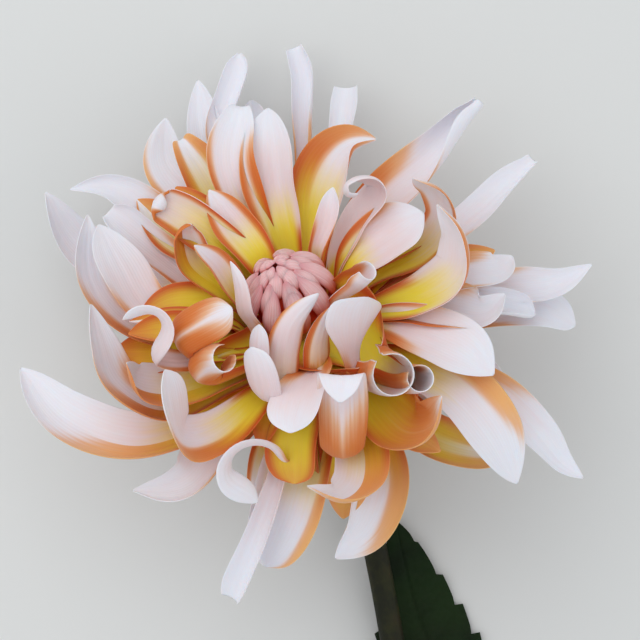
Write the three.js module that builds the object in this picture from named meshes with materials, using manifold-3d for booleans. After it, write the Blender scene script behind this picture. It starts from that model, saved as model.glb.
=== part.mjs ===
// A cut dahlia in white, pale pink, orange and yellow, laid down on its stem and its back florets.
// Millimetres, +Z up. The stem runs towards -Y. The head is drawn in its own frame, where X is
// to the right, Y is up and Z comes towards a person who looks into the flower from above.

import * as THREE from 'three';
import { mergeVertices } from 'three/addons/utils/BufferGeometryUtils.js';
import Module from 'manifold-3d';

const wasm = await Module();
wasm.setup();

// Driving dimensions

const HEAD_TILT = 38; // degrees between the head's axis and straight up
const HEAD_LEAN = 26; // degrees from the head frame's Y to the side that the axis leans to
const STEM_TURN = 15.4; // degrees that the head frame is turned, so that the stem runs towards -Y
const ORIGIN = [0.24, -66.3, -39.33]; // the bottom centre of the part's box, in the turned head frame
const BLADE = 0.8; // thickness of a floret
const ROOT_SINK = 2.5; // how deep a floret's root goes into the receptacle
const ROOT_STEP = 1; // how far out of the receptacle a root runs before its own way starts
const RECEPTACLE_BASE = -8.7; // heights on the head's axis
const RECEPTACLE_TOP = 9.7;
const CALYX_BASE = -21;
const STEM_RADIUS = 3.05;
const GAP = 0.3; // clearance between neighbouring pieces
const SAMPLES = 240; // fine steps along a floret's way
const SECTION_STEPS = 40; // fine steps from the middle of a floret to its edge

// Where each whorl of florets leaves the receptacle: [height on the axis, radius]
const WHORLS = [
  [-5, 12],
  [-2, 13],
  [1, 12.5],
  [4, 11.5],
  [6, 10.6],
  [7.5, 9.6],
];
const UNDER_WHORL = [-7, 11];

const AXIS = new THREE.Vector3(
  -Math.sin(rad(HEAD_TILT)) * Math.sin(rad(HEAD_LEAN)),
  Math.sin(rad(HEAD_TILT)) * Math.cos(rad(HEAD_LEAN)),
  Math.cos(rad(HEAD_TILT)),
);
const ACROSS = new THREE.Vector3(1, 0, 0).addScaledVector(AXIS, -AXIS.x).normalize();
const ALONG = new THREE.Vector3().crossVectors(AXIS, ACROSS);

const GOLDEN_ANGLE = 137.508;
const UNDER_COUNT = 8;
const UNDER_REACH_BACK = 46;
const UNDER_REACH_FRONT = 37;
const UNDER_DROOP = -23;
const LOWEST = -38.9; // height of the surface under the back florets' middle lines
const BRACT_COUNT = 6;

const STEM_WAY = [
  [11.2, -28, -27.6],
  [18.75, -62.9, -31.6],
  [23.6, -89, -33],
  [29.8, -113, -34.2],
  [37.6, -140, -35.6],
  [56, -198, -36.35],
];

const LEAF_MIDRIB = [
  [33.3, -112, -34.4],
  [36.8, -110.8, -35],
  [39.6, -103.5, -36.8],
  [35.2, -90, -38.2],
  [28.5, -74, -38.3],
  [22.5, -49, -36],
];
const LEAF_TEETH = 5;
const LEAF_WIDTH = 25.5;
const LEAF_PETIOLE = 1.7; // half the width of the leaf's stalk
const LEAF_FOLD = 0.6; // how far the leaf's edges rise over its middle
const LEAF_THICKNESS = 0.9;

// Florets that show from above. way holds the points that the middle line passes, in the head
// frame; cup, twist, roll and curl are angles in degrees at the root, the middle and the tip, of
// the left and right edge, or over a last length of the way.
const FLORETS = [
  // The far side, outer florets
  {
    way: [[-1, 28, -13], [-0.6, 52, -25], [-0.8, 66, -29], [-3.2, 72.5, -30]],
    ring: 1, width: 10.5, cup: [60, 100, 100], widest: 0.85, end: 0.7, tip: [4, 0.5],
  },
  {
    way: [[-13, 28, -13], [-22.5, 50, -22], [-20, 59, -26], [-17.4, 66.5, -29], [-17.4, 71, -30]],
    ring: 1, width: 10, cup: [40, 90, 90], widest: 0.85, end: 0.1, tip: [4, 0.5], rows: 6,
  },
  {
    way: [[-17, 28, -14], [-24, 45, -23], [-28, 64, -28]],
    ring: 0, width: 12, cup: [40, 60, 50], twist: [0, -10], widest: 0.7, rows: 4,
  },
  {
    way: [[-7, 28, -14], [-12, 46, -26], [-14.5, 59, -31]],
    ring: 0, width: 10, cup: [30, 60, 50], widest: 0.75, tip: [3, 0.6], rows: 4,
  },
  {
    way: [[-18, 24, -11], [-28, 34, -17], [-36, 43, -22], [-36, 54, -21]],
    ring: 1, width: 16, cup: [40, 60, 40], roll: [-60, 0],
  },
  {
    way: [[4, 28, -13], [9, 48, -23], [10.3, 62, -28]],
    ring: 2, width: 9, cup: [40, 100, 60], widest: 0.9, end: 0.85, tip: [4, 0.5], rows: 4,
  },
  {
    way: [[-25, 12, -14], [-45, 15, -22], [-58.5, 21, -22], [-66.5, 35, -18]],
    ring: 0, width: 16.5, cup: [30, 50, 50],
  },
  {
    way: [[-22, 16, -10], [-37, 27, -14], [-50, 35.5, -16], [-60, 35.5, -14]],
    ring: 1, width: 13, cup: [40, 50, 60], twist: [0, 20], roll: [0, 40], widest: 0.68,
    tip: [1.8, 0.9],
  },
  {
    way: [[-20, 17, -6], [-33, 24, -10], [-43, 33, -14]],
    ring: 1, width: 15, cup: [30, 50, 50], rows: 4,
  },
  {
    way: [[-17, 23, -8], [-24, 36, -13], [-31, 47, -16]],
    ring: 2, width: 14, cup: [30, 50, 50], curl: [5, -120], rows: 7,
  },
  {
    way: [[-22, 7, -3], [-38, 19, -8], [-50.5, 29.5, -10]],
    ring: 2, width: 13, cup: [30, 50, 50], roll: [50, 50], widest: 0.8, end: 0.5, tip: [5, 0.5],
    rows: 4,
  },
  {
    way: [[10, 20, -5], [21, 33, -8], [32.3, 42.8, -11], [39.5, 51.6, -13], [44.3, 57, -14]],
    ring: 2, width: 17, cup: [30, 60, 100], twist: [0, -20], widest: 0.5, end: 0.5, tip: [5, 0.5],
    rows: 6,
  },
  {
    way: [[24, 15, 0], [40.5, 27, -6], [49.5, 35.5, -10], [57.5, 42.8, -12]],
    ring: 0, width: 10.5, cup: [30, 40, 80], widest: 0.6, end: 0.5, tip: [4, 0.5],
  },
  {
    way: [[28, 5, 2], [48, 9, 0], [62, 11, -3], [71.5, 16.5, -4]],
    ring: 0, width: 13, cup: [30, 60, 60], twist: [0, 20], widest: 0.7, tip: [1.6, 0.9],
  },
  {
    way: [[28, 1, 0], [50, 5, -2], [60, 5, -4], [67.5, 1, -6]],
    ring: 0, width: 13, cup: [30, 30, 20], widest: 0.8, tip: [3, 0.6],
  },
  {
    way: [[24, 4, 8], [44, 6, 8], [57, 4, 4]],
    ring: 1, width: 11, cup: [30, 40, 60], roll: [60, 60], widest: 0.8, tip: [5, 0.5], rows: 4,
  },
  // The far side, inner florets
  {
    way: [[-12, 24, -4], [-19, 42, -5], [-17, 56, -12]],
    ring: 3, width: 14, cup: [30, 55, 40], curl: [4, -150], rows: 7,
  },
  {
    way: [[-6, 25, -2], [-9, 36, -4], [-10, 47, -6], [-10, 56, -11]],
    ring: 4, width: 16, cup: [30, 55, 30], twist: [0, -10],
  },
  {
    way: [[2, 26, -4], [4.5, 38, -6], [10, 46, -9], [17.5, 48, -10]],
    ring: 3, width: 18, cup: [30, 50, 90], roll: [0, 60],
  },
  {
    way: [[3, 20, 6], [5.5, 27, 8], [6.5, 35.5, 8]],
    ring: 5, width: 8, cup: [30, 90, 60], widest: 0.7, rows: 4,
  },
  {
    way: [
      [8, 18, 4], [13, 27, 6], [19, 35, 9], [16.2, 38, 10], [12, 38, 11],
      [9, 35.6, 11.5], [10.3, 33, 12], [12.8, 33.8, 12.5],
    ],
    ring: 4, width: 12, cup: [30, 40, 20], twist: [-18, -28], widest: 0.5, rows: 7,
  },
  {
    way: [[12, 17, 8], [20, 23, 11], [29, 29, 12]],
    ring: 4, width: 17, cup: [30, 40, 20], widest: 0.68, tip: [2.8, 0.8], rows: 4,
  },
  {
    way: [[18, 14, 4], [30, 20, 6], [35, 28, 9], [32, 35, 12], [26, 37.5, 14]],
    ring: 3, width: 14, cup: [30, 50, 30], tip: [4, 0.5], rows: 6,
  },
  {
    way: [[18, 5, 10], [30, 8, 14], [38, 14, 18], [38, 24, 20], [32, 31, 20]],
    ring: 3, width: 18, cup: [30, 50, 60], rows: 6,
  },
  {
    way: [[-12, 18, 4], [-19, 27, 3], [-24.5, 35, 2]],
    ring: 5, width: 12, cup: [30, 50, 30], rows: 4,
  },
  {
    way: [[-16, 17, 2], [-28, 26, 3], [-37, 31, 4]],
    ring: 3, width: 14, cup: [30, 60, 80], curl: [11, 150], rows: 7,
  },
  {
    way: [[-20, 9, 5], [-29, 16, 5], [-31, 23, 6]],
    ring: 3, width: 14, cup: [30, 60, 60], curl: [7, 120], rows: 7,
  },
  {
    way: [[-18.2, 9.2, 7.4], [-23.2, 16.6, 9.8], [-28, 21, 11]],
    ring: 4, width: 11, cup: [30, 50, 30], rows: 4,
  },
  {
    way: [[-24, 2, 2], [-39.73, 5.17, 5], [-46.97, 16.33, 3], [-52.2, 26.5, -1]],
    ring: 1, width: 15, cup: [30, 40, 20], widest: 0.7, tip: [2.4, 0.8],
  },
  {
    way: [[-28, -4, 2], [-45, 1, 4], [-54, 12, 3], [-55, 29, -3]],
    ring: 0, width: 13, cup: [30, 50, 40],
  },
  // The left side
  {
    way: [[-20, 1.6, 8], [-34, 3.1, 10], [-44, 2.1, 12]],
    ring: 3, width: 6.5, cup: [30, 50, 30], rows: 4,
  },
  {
    way: [[-20, -14, 8], [-36, -20, 12], [-48, -13, 14], [-51.5, -3, 14], [-53.5, 6.5, 12]],
    ring: 1, width: 17, cup: [30, 50, 40], rows: 6,
  },
  {
    way: [[-22, -22, 6], [-42, -29, 8], [-60, -23, 2], [-72, -9.5, -6]],
    ring: 0, width: 19, cup: [30, 60, 50],
  },
  {
    way: [[-20.3, -12, 12], [-33.3, -16, 16], [-42.3, -14, 20], [-44.3, -8, 23]],
    ring: 2, width: 19, cup: [30, 50, 30], widest: 0.7, tip: [3, 0.6],
  },
  {
    way: [
      [-19, -5, 13], [-31, -8, 18], [-38, -6.3, 22], [-36, -3.2, 27],
      [-34.4, 0, 29], [-35.6, 3.4, 30.5], [-39.5, 4.7, 31], [-45, 2.5, 29],
    ],
    ring: 3, width: 7, cup: [30, 40, 20], twist: [-30, 5], widest: 0.7, base: 0.6, tip: [3, 0.6],
    rows: 7,
  },
  {
    way: [[-18, -6.6, 14], [-29, -6.6, 19], [-32, -2.6, 26], [-26, 1.4, 31], [-18, 5.4, 33]],
    ring: 4, width: 11.5, cup: [30, 50, 30], widest: 0.8, tip: [4, 0.5], rows: 6,
  },
  {
    way: [
      [-16, -9, 15], [-24.77, -12.82, 19], [-27.05, -12.15, 25], [-24.32, -9.97, 30],
      [-21.6, -9.3, 34],
    ],
    ring: 4, width: 20, cup: [30, 100, 100], widest: 0.9, rise: 2.5, end: 0.9, rows: 6,
  },
  {
    way: [[-12, -17, 16], [-22, -26, 22], [-30, -27.5, 26], [-33.5, -18, 33], [-34.5, -9.5, 36]],
    ring: 2, width: 17, cup: [20, 35, 30], twist: [-15, -42], widest: 0.75, tip: [3, 0.5], rows: 6,
  },
  {
    way: [[-5, -15, 18], [-9.5, -17.5, 26], [-11.5, -11, 32], [-13.3, -4, 35]],
    ring: 4, width: 9.5, cup: [30, 50, 30], widest: 0.78, tip: [3, 0.5],
  },
  {
    way: [[-8, -10, 18], [-12, -12, 25], [-12, -5, 29], [-11.5, 1.5, 31]],
    ring: 5, width: 6, cup: [30, 50, 30], widest: 0.75, tip: [3, 0.6],
  },
  {
    way: [
      [-11.9, -2.8, 13.6], [-13.6, 0.3, 18.4], [-16.2, 4.1, 21.2], [-17, 11, 22.6],
      [-18.8, 17, 21.5],
    ],
    ring: 4, width: 8, cup: [30, 50, 40], widest: 0.6, tip: [2, 0.8], rows: 6,
  },
  // Round the closed middle
  {
    way: [[2.5, -8.5, 19], [0, -13, 28], [-2.5, -19, 33], [-4, -25, 35]],
    ring: 5, width: 16, cup: [30, 30, 20], widest: 0.75, rise: 2.5, base: 0.3, tip: [3.5, 0.6],
  },
  {
    way: [[-5.5, -13.5, 20], [-5.5, -5.5, 27], [-3.5, 1.5, 31], [3, 9, 32]],
    ring: 5, width: 10, cup: [30, 50, 50], roll: [60, 30], widest: 0.6,
  },
  {
    way: [[3, -10, 19], [3.5, -3, 25], [5.5, 5.5, 26]],
    ring: 5, width: 9, cup: [30, 50, 40], rows: 4,
  },
  {
    way: [[12.5, -13.5, 19], [11.7, -5, 26], [13.2, 3, 30], [14.6, 8.2, 31]],
    ring: 4, width: 25, cup: [30, 40, 20], widest: 0.9, rise: 25, base: 0.24, tip: [3, 0.5],
  },
  {
    way: [[10.6, 9, 17], [14.3, 11.35, 21], [17.1, 13.7, 25]],
    ring: 5, width: 15, cup: [30, 100, 100], widest: 0.9, rise: 2.5, end: 0.9, rows: 4,
  },
  // The right side
  {
    way: [[24, 9, 6], [40, 14, 8], [48, 15, 8], [51, 18.5, 8]],
    ring: 2, width: 12, cup: [30, 40, 30], tip: [4, 0.5],
  },
  {
    way: [[20, 5, 10], [34, 5, 13], [44, 4, 14], [49, 9, 14]],
    ring: 2, width: 16, cup: [30, 50, 50],
  },
  {
    way: [[20, 2, 13], [30, -1, 18], [39, -5, 21], [46, -11, 21]],
    ring: 3, width: 16, cup: [30, 30, 15], widest: 0.68, tip: [2.4, 0.9],
  },
  {
    way: [[26, -8, 6], [46, -16, 10], [57, -26, 8], [63, -33, 4], [69, -37, 2]],
    ring: 0, width: 13, cup: [30, 50, 60], rows: 6,
  },
  {
    way: [[20, -16, 4], [30.5, -26.5, 6], [42.5, -30.5, 4], [50.5, -30.5, 0]],
    ring: 0, width: 14, cup: [30, 60, 50],
  },
  {
    way: [[22, -8, 12], [36, -14, 18], [46, -25, 18], [52, -38, 13]],
    ring: 1, width: 17, cup: [30, 40, 20],
  },
  {
    way: [[14, -13, 12], [19, -20, 17], [25, -25, 22], [31, -23, 27], [33, -16, 31]],
    ring: 3, width: 22, cup: [30, 70, 60], twist: [0, 25], widest: 0.6, tip: [2.4, 0.7], rows: 6,
  },
  {
    way: [[17.5, -11.8, 15], [21.6, -14.4, 22], [23.6, -14.9, 30], [24.4, -14.9, 35]],
    ring: 5, width: 33, cup: [30, 100, 100], widest: 0.9, rise: 8, end: 0.95,
  },
  {
    way: [[19, -11, 13], [26.07, -14.23, 20], [29.13, -14.47, 28], [30.2, -14, 33]],
    ring: 4, width: 21, cup: [30, 100, 100], widest: 0.9, rise: 3, end: 0.95,
  },
  {
    way: [
      [9, -14, 14], [9.3, -25, 18], [9, -31.5, 24], [8.8, -28, 30],
      [8.7, -20, 33.5], [8.5, -12.8, 36], [8.4, -10.3, 38.3], [8.3, -12.5, 40.4], [8.1, -17.6, 40.8],
    ],
    ring: 4, width: 13.5, cup: [30, 60, 12], widest: 0.6, tip: [4, 0.5], rows: 9,
  },
  // The near side
  {
    way: [[-1, -18, 12], [-3, -28, 17], [-3, -38, 16]],
    ring: 2, width: 15, cup: [30, 50, 40], widest: 0.7, tip: [3, 0.5], rows: 4,
  },
  {
    way: [[-6, -17, 12], [-10, -24, 16], [-11, -29, 17]],
    ring: 2, width: 9, cup: [30, 50, 40], rows: 4,
  },
  {
    way: [[2, -20, 4], [-1, -32, 8], [-5, -46, 8], [-10.5, -59, 4]],
    ring: 0, width: 21, cup: [30, 45, 40], roll: [0, 60], widest: 0.6, tip: [3, 0.6],
  },
  {
    way: [
      [-5, -32.5, 16], [-8.5, -29, 22], [-12.5, -28, 25], [-17, -29.5, 27],
      [-19.5, -33, 27], [-19.2, -36.5, 26], [-16.5, -38.5, 24], [-14, -40, 22], [-12, -42.5, 20],
    ],
    ring: 2, width: 8, cup: [30, 40, 20], twist: [0, 52], widest: 0.78, rise: 6, base: 0.1,
    tip: [3, 0.6], rows: 7,
  },
  {
    way: [[-14, -22, 6], [-23, -31, 9], [-28, -37.5, 10], [-34, -40, 8], [-43.5, -40, 4]],
    ring: 1, width: 16, cup: [30, 60, 60], roll: [60, 0], widest: 0.55, tip: [1.8, 0.9], rows: 6,
  },
  {
    way: [[9, -20, 12], [14, -29, 18], [13.5, -38, 23], [8, -41.5, 28], [0, -38, 30]],
    ring: 2, width: 16, cup: [30, 50, 50], rows: 6,
  },
  {
    way: [[13, -22, 4], [18.5, -36, 7], [15, -48.5, 6], [7, -57, 4]],
    ring: 0, width: 16, cup: [30, 50, 40], roll: [0, 60],
  },
  {
    way: [[-4, -20, 5], [-7, -38, 11], [-12.5, -53, 9], [-18.5, -67, 4]],
    ring: 1, width: 10, cup: [40, 80, 80], widest: 0.9, end: 0.7, tip: [4, 0.5],
  },
  // Deeper florets that close the gaps between those above
  {
    way: [[-3, -20, 6], [-2, -32, 8], [1, -42, 7]],
    ring: 1, width: 14, cup: [30, 50, 40], rows: 4,
  },
  {
    way: [[6, -20, 7], [10, -34, 9], [9, -47, 6]],
    ring: 1, width: 14, cup: [30, 50, 40], rows: 4,
  },
  {
    way: [[-19, 4, 4], [-32, 6, 6], [-42, 3, 6]],
    ring: 2, width: 13, cup: [30, 50, 40], rows: 4,
  },
  {
    way: [[-20, -3, 8], [-32, -1, 14], [-44, -1, 18]],
    ring: 2, width: 14, cup: [30, 50, 40], rows: 4,
  },
  {
    way: [[16, 17, 0], [28, 24, 0], [36, 27, -2]],
    ring: 2, width: 13, cup: [30, 50, 40], rows: 4,
  },
  {
    way: [[25, 10, 3], [40, 17, 2], [47, 20, 0]],
    ring: 1, width: 13, cup: [30, 50, 40], rows: 4,
  },
  {
    way: [[-15, 18, 0], [-26, 28, -2], [-33, 36, -6]],
    ring: 3, width: 12, cup: [30, 50, 40], rows: 4,
  },
  {
    way: [[14, -14, 12], [24, -24, 15], [33, -30, 15]],
    ring: 3, width: 12, cup: [30, 50, 40], rows: 4,
  },
  {
    way: [[-20, -3.4, 6], [-35, -6, 7], [-48.5, -5.8, 5.5]],
    ring: 2, width: 16, cup: [30, 30, 15], widest: 0.7, tip: [2.4, 0.8], rows: 4,
  },
  {
    way: [[-6, -20, 3], [-11, -36, 4], [-13.6, -44, 3]],
    ring: 1, width: 10, cup: [30, 50, 40], tip: [2, 0.8], rows: 4,
  },
];

// Small helpers

function rad(degrees) {
  return (degrees * Math.PI) / 180;
}

function clamp(value, low, high) {
  return Math.min(high, Math.max(low, value));
}

// a at 0, b at the middle and c at the end, with level starts and ends
function ease(u, [a, b, c]) {
  const half = u < 0.5;
  const t = half ? 2 * u : 2 * u - 1;
  const s = t * t * (3 - 2 * t);
  return half ? a + (b - a) * s : b + (c - b) * s;
}

// A point of the head from its azimuth round the axis, its radius and its height on the axis
function onHead(azimuth, radius, height) {
  return new THREE.Vector3()
    .addScaledVector(ACROSS, radius * Math.cos(azimuth))
    .addScaledVector(ALONG, radius * Math.sin(azimuth))
    .addScaledVector(AXIS, height);
}

// Solids

function toSolid(geometry) {
  const bare = geometry.clone();
  bare.deleteAttribute('normal');
  bare.deleteAttribute('uv');
  const merged = mergeVertices(bare, 1e-4);
  return new wasm.Manifold(
    new wasm.Mesh({
      numProp: 3,
      vertProperties: new Float32Array(merged.getAttribute('position').array),
      triVerts: new Uint32Array(merged.getIndex().array),
    }),
  );
}

// The largest shell of a solid, so that loose scraps go and sealed hollows are filled
function mainShell(solid) {
  const mesh = solid.getMesh();
  const points = mesh.vertProperties;
  const faces = mesh.triVerts;
  const parent = Array.from({ length: points.length / 3 }, (_, i) => i);
  const find = (i) => {
    while (parent[i] !== i) {
      parent[i] = parent[parent[i]];
      i = parent[i];
    }
    return i;
  };
  for (let f = 0; f < faces.length; f += 3) {
    parent[find(faces[f])] = find(faces[f + 1]);
    parent[find(faces[f + 2])] = find(faces[f + 1]);
  }
  const corner = (i) => new THREE.Vector3(points[3 * i], points[3 * i + 1], points[3 * i + 2]);
  const volume = new Map();
  for (let f = 0; f < faces.length; f += 3) {
    const [a, b, c] = [corner(faces[f]), corner(faces[f + 1]), corner(faces[f + 2])];
    const root = find(faces[f]);
    volume.set(root, (volume.get(root) ?? 0) + a.dot(b.cross(c)) / 6);
  }
  const largest = [...volume.entries()].sort((p, q) => q[1] - p[1])[0][0];
  const kept = Array.from(faces).filter((_, i) => find(faces[i - (i % 3)]) === largest);
  const geometry = new THREE.BufferGeometry();
  geometry.setAttribute('position', new THREE.BufferAttribute(new Float32Array(points), 3));
  geometry.setIndex(kept);
  return mergeVertices(geometry, 1e-5);
}

function fuse(core, geometries) {
  let solid = toSolid(core);
  for (const geometry of geometries) {
    solid = solid.add(toSolid(geometry));
  }
  return mainShell(solid);
}

// A body turned round the head's axis from [radius, height] points, in the head frame
function turned(profile, sides) {
  const geometry = new THREE.LatheGeometry(
    profile.map(([radius, height]) => new THREE.Vector2(radius, height)),
    sides,
  );
  // the lathe turns round Y, so its Y is laid on the axis
  const basis = new THREE.Matrix4().makeBasis(ACROSS, AXIS, ALONG.clone().negate());
  return geometry.applyMatrix4(basis);
}

// Blades

// The way of a blade as fine samples: places, directions and the normals of its inner face
function travel(points, curl, firstNormal) {
  const curve = new THREE.CatmullRomCurve3(points, false, 'centripetal');
  curve.arcLengthDivisions = 400;
  const drawn = curve.getLength();
  const [curlLength, curlAngle] = curl;
  const step = (drawn + curlLength) / SAMPLES;
  const last = Math.min(SAMPLES, Math.floor(drawn / step));
  const places = [];
  for (let i = 0; i <= SAMPLES; i += 1) {
    places.push(curve.getPointAt(Math.min(1, (i * step) / drawn)));
  }
  const direction = (i) => {
    const before = places[Math.max(0, i - 1)];
    const after = places[Math.min(last, i + 1)];
    return after.clone().sub(before).normalize();
  };
  const samples = [];
  let heading = direction(0);
  let normal = firstNormal.clone().addScaledVector(heading, -firstNormal.dot(heading)).normalize();
  let place = places[0].clone();
  samples.push({ place, heading, normal });
  const bend = (rad(curlAngle) * step) / Math.max(curlLength, 1e-6);
  for (let i = 1; i <= SAMPLES; i += 1) {
    let next;
    if (i <= last) {
      next = direction(i);
      const turn = new THREE.Quaternion().setFromUnitVectors(heading, next);
      normal = normal.clone().applyQuaternion(turn);
      normal.addScaledVector(next, -normal.dot(next)).normalize();
      place = places[i].clone();
    } else {
      next = heading.clone().multiplyScalar(Math.cos(bend)).addScaledVector(normal, Math.sin(bend));
      normal = normal.clone().multiplyScalar(Math.cos(bend)).addScaledVector(heading, -Math.sin(bend));
      place = place.clone().addScaledVector(heading, step / 2).addScaledVector(next, step / 2);
    }
    heading = next;
    samples.push({ place, heading, normal });
  }
  return samples;
}

// Width of a blade at u, as a share of its full width
function outline(u, floret) {
  const { base, widest, rise, tip, end } = floret;
  if (u < widest) {
    return base + (1 - base) * Math.sin(((Math.PI / 2) * u) / widest) ** rise;
  }
  const t = clamp((u - widest) / (1 - widest), 0, 1);
  return Math.max(end, (1 - t ** tip[0]) ** tip[1]);
}

// The cross-section at u: how far out and how far up the edge lies after bending
function section(u, share, floret, rolled) {
  const fade = clamp((u - floret.rollFrom) / (1 - floret.rollFrom), 0, 1);
  const cup = rad(ease(u, floret.cup));
  const ds = (Math.max(outline(u, floret), floret.leastWidth) * floret.width) / 2 / SECTION_STEPS;
  const steps = Math.round(share * SECTION_STEPS);
  let out = 0;
  let up = 0;
  for (let k = 0; k < steps; k += 1) {
    const half = (k + 0.5) / SECTION_STEPS;
    const angle = cup * half + rad(rolled) * fade * clamp((half - 0.25) / 0.75, 0, 1) ** 1.6;
    out += Math.cos(angle) * ds;
    up += Math.sin(angle) * ds;
  }
  return [out, up];
}

const PLAIN = {
  cup: [30, 40, 25],
  twist: [0, 0],
  roll: [0, 0],
  rollFrom: 0.5,
  curl: [0, 0],
  widest: 0.62,
  base: 0.22,
  tip: [2.2, 0.8],
  rise: 1.5,
  end: 0,
  leastWidth: 0.14,
  rows: 5,
  columns: 2,
};

// One blade as a closed solid. Both faces are split into triangles alike.
function blade(floretValues, points, firstNormal) {
  const floret = { ...PLAIN, ...floretValues };
  const samples = travel(points, floret.curl, firstNormal);
  const grid = [];
  for (let i = 0; i <= floret.rows; i += 1) {
    // rows come closer together towards the tip
    const s = i / floret.rows;
    const u = s + 0.35 * s * (1 - s);
    const { place, heading, normal } = samples[Math.round(u * SAMPLES)];
    const turn = rad(ease(u, [0, ...floret.twist]));
    const side = new THREE.Vector3().crossVectors(heading, normal);
    const face = normal.clone().multiplyScalar(Math.cos(turn)).addScaledVector(side, Math.sin(turn));
    const edge = side.clone().multiplyScalar(Math.cos(turn)).addScaledVector(normal, -Math.sin(turn));
    const row = [];
    for (let j = 0; j <= floret.columns; j += 1) {
      const v = (2 * j) / floret.columns - 1;
      const [out, up] = section(u, Math.abs(v), floret, v < 0 ? floret.roll[0] : floret.roll[1]);
      row.push(place.clone().addScaledVector(edge, Math.sign(v) * out).addScaledVector(face, up));
    }
    grid.push(row);
  }
  return sheet(grid, floret.thickness ?? BLADE);
}

// A grid of points thickened to both sides, closed by its four edges
function sheet(grid, thickness) {
  const rows = grid.length;
  const columns = grid[0].length;
  const positions = [];
  for (const way of [-0.5, 0.5]) {
    for (let i = 0; i < rows; i += 1) {
      for (let j = 0; j < columns; j += 1) {
        const lengthwise = grid[Math.min(rows - 1, i + 1)][j].clone().sub(grid[Math.max(0, i - 1)][j]);
        const crosswise = grid[i][Math.min(columns - 1, j + 1)].clone().sub(grid[i][Math.max(0, j - 1)]);
        const out = lengthwise.cross(crosswise).normalize();
        positions.push(...grid[i][j].clone().addScaledVector(out, way * thickness).toArray());
      }
    }
  }
  const layer = rows * columns;
  const at = (i, j, top) => i * columns + j + (top ? layer : 0);
  const faces = [];
  for (let i = 0; i + 1 < rows; i += 1) {
    for (let j = 0; j + 1 < columns; j += 1) {
      faces.push(at(i, j, true), at(i + 1, j, true), at(i + 1, j + 1, true));
      faces.push(at(i, j, true), at(i + 1, j + 1, true), at(i, j + 1, true));
      faces.push(at(i, j, false), at(i + 1, j + 1, false), at(i + 1, j, false));
      faces.push(at(i, j, false), at(i, j + 1, false), at(i + 1, j + 1, false));
    }
  }
  const rim = [];
  for (let j = 0; j < columns; j += 1) {
    rim.push([0, j]);
  }
  for (let i = 1; i < rows; i += 1) {
    rim.push([i, columns - 1]);
  }
  for (let j = columns - 2; j >= 0; j -= 1) {
    rim.push([rows - 1, j]);
  }
  for (let i = rows - 2; i > 0; i -= 1) {
    rim.push([i, 0]);
  }
  for (let k = 0; k < rim.length; k += 1) {
    const [a, b] = [rim[k], rim[(k + 1) % rim.length]];
    faces.push(at(...a, false), at(...a, true), at(...b, true));
    faces.push(at(...a, false), at(...b, true), at(...b, false));
  }
  const geometry = new THREE.BufferGeometry();
  geometry.setAttribute('position', new THREE.Float32BufferAttribute(positions, 3));
  geometry.setIndex(faces);
  return geometry;
}

// A floret that leaves the receptacle at its whorl and then follows its own way
function rayFloret(floret) {
  const [height, radius] = floret.whorl ?? WHORLS[floret.ring];
  const way = floret.way.map((point) => new THREE.Vector3(...point));
  const radial = way[0].clone().addScaledVector(AXIS, -way[0].dot(AXIS)).normalize();
  const at = (r, h) => radial.clone().multiplyScalar(r).addScaledVector(AXIS, h);
  const root = at(radius - ROOT_SINK, height);
  const start = at(radius + ROOT_STEP, height + 0.4);
  const heading = start.clone().sub(root).normalize();
  const inward = AXIS.clone().multiplyScalar(heading.dot(radial)).addScaledVector(radial, -heading.dot(AXIS));
  return blade(floret, [root, start, ...way], inward);
}

// Florets of the back, hidden from above. Each leaves the receptacle at the golden angle from the
// one before and hangs back until it meets the surface that the flower lies on.
function underFlorets(count) {
  const floret = { width: 15, cup: [30, 45, 35], tip: [2.2, 0.8], whorl: UNDER_WHORL, rows: 3 };
  return Array.from({ length: count }, (_, k) => {
    const azimuth = rad(75 + k * GOLDEN_ANGLE);
    const lower = Math.sin(azimuth) < -0.2;
    const reach = lower ? UNDER_REACH_FRONT : UNDER_REACH_BACK;
    const slope = ACROSS.z * Math.cos(azimuth) + ALONG.z * Math.sin(azimuth);
    const heightAtSurface = (LOWEST - reach * slope) / AXIS.z;
    const tipHeight = Math.max(lower ? -17 : UNDER_DROOP, heightAtSurface);
    const way = [0.42, 0.72, 1].map((share) => {
      const height = UNDER_WHORL[0] + (tipHeight - UNDER_WHORL[0]) * share ** 1.4;
      return onHead(azimuth, reach * share, height).toArray();
    });
    return { ...floret, way };
  });
}

function bloom() {
  const receptacle = turned(
    [
      [0, RECEPTACLE_BASE], [9.5, RECEPTACLE_BASE], [12, -6.5], [13.2, -2.5], [12.9, 1], [11.8, 4],
      [10.2, 7], [7.8, 9.1], [5.5, RECEPTACLE_TOP], [0, RECEPTACLE_TOP],
    ],
    20,
  );
  const florets = [...FLORETS, ...underFlorets(UNDER_COUNT)].map(rayFloret);
  return fuse(receptacle, florets);
}

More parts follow.
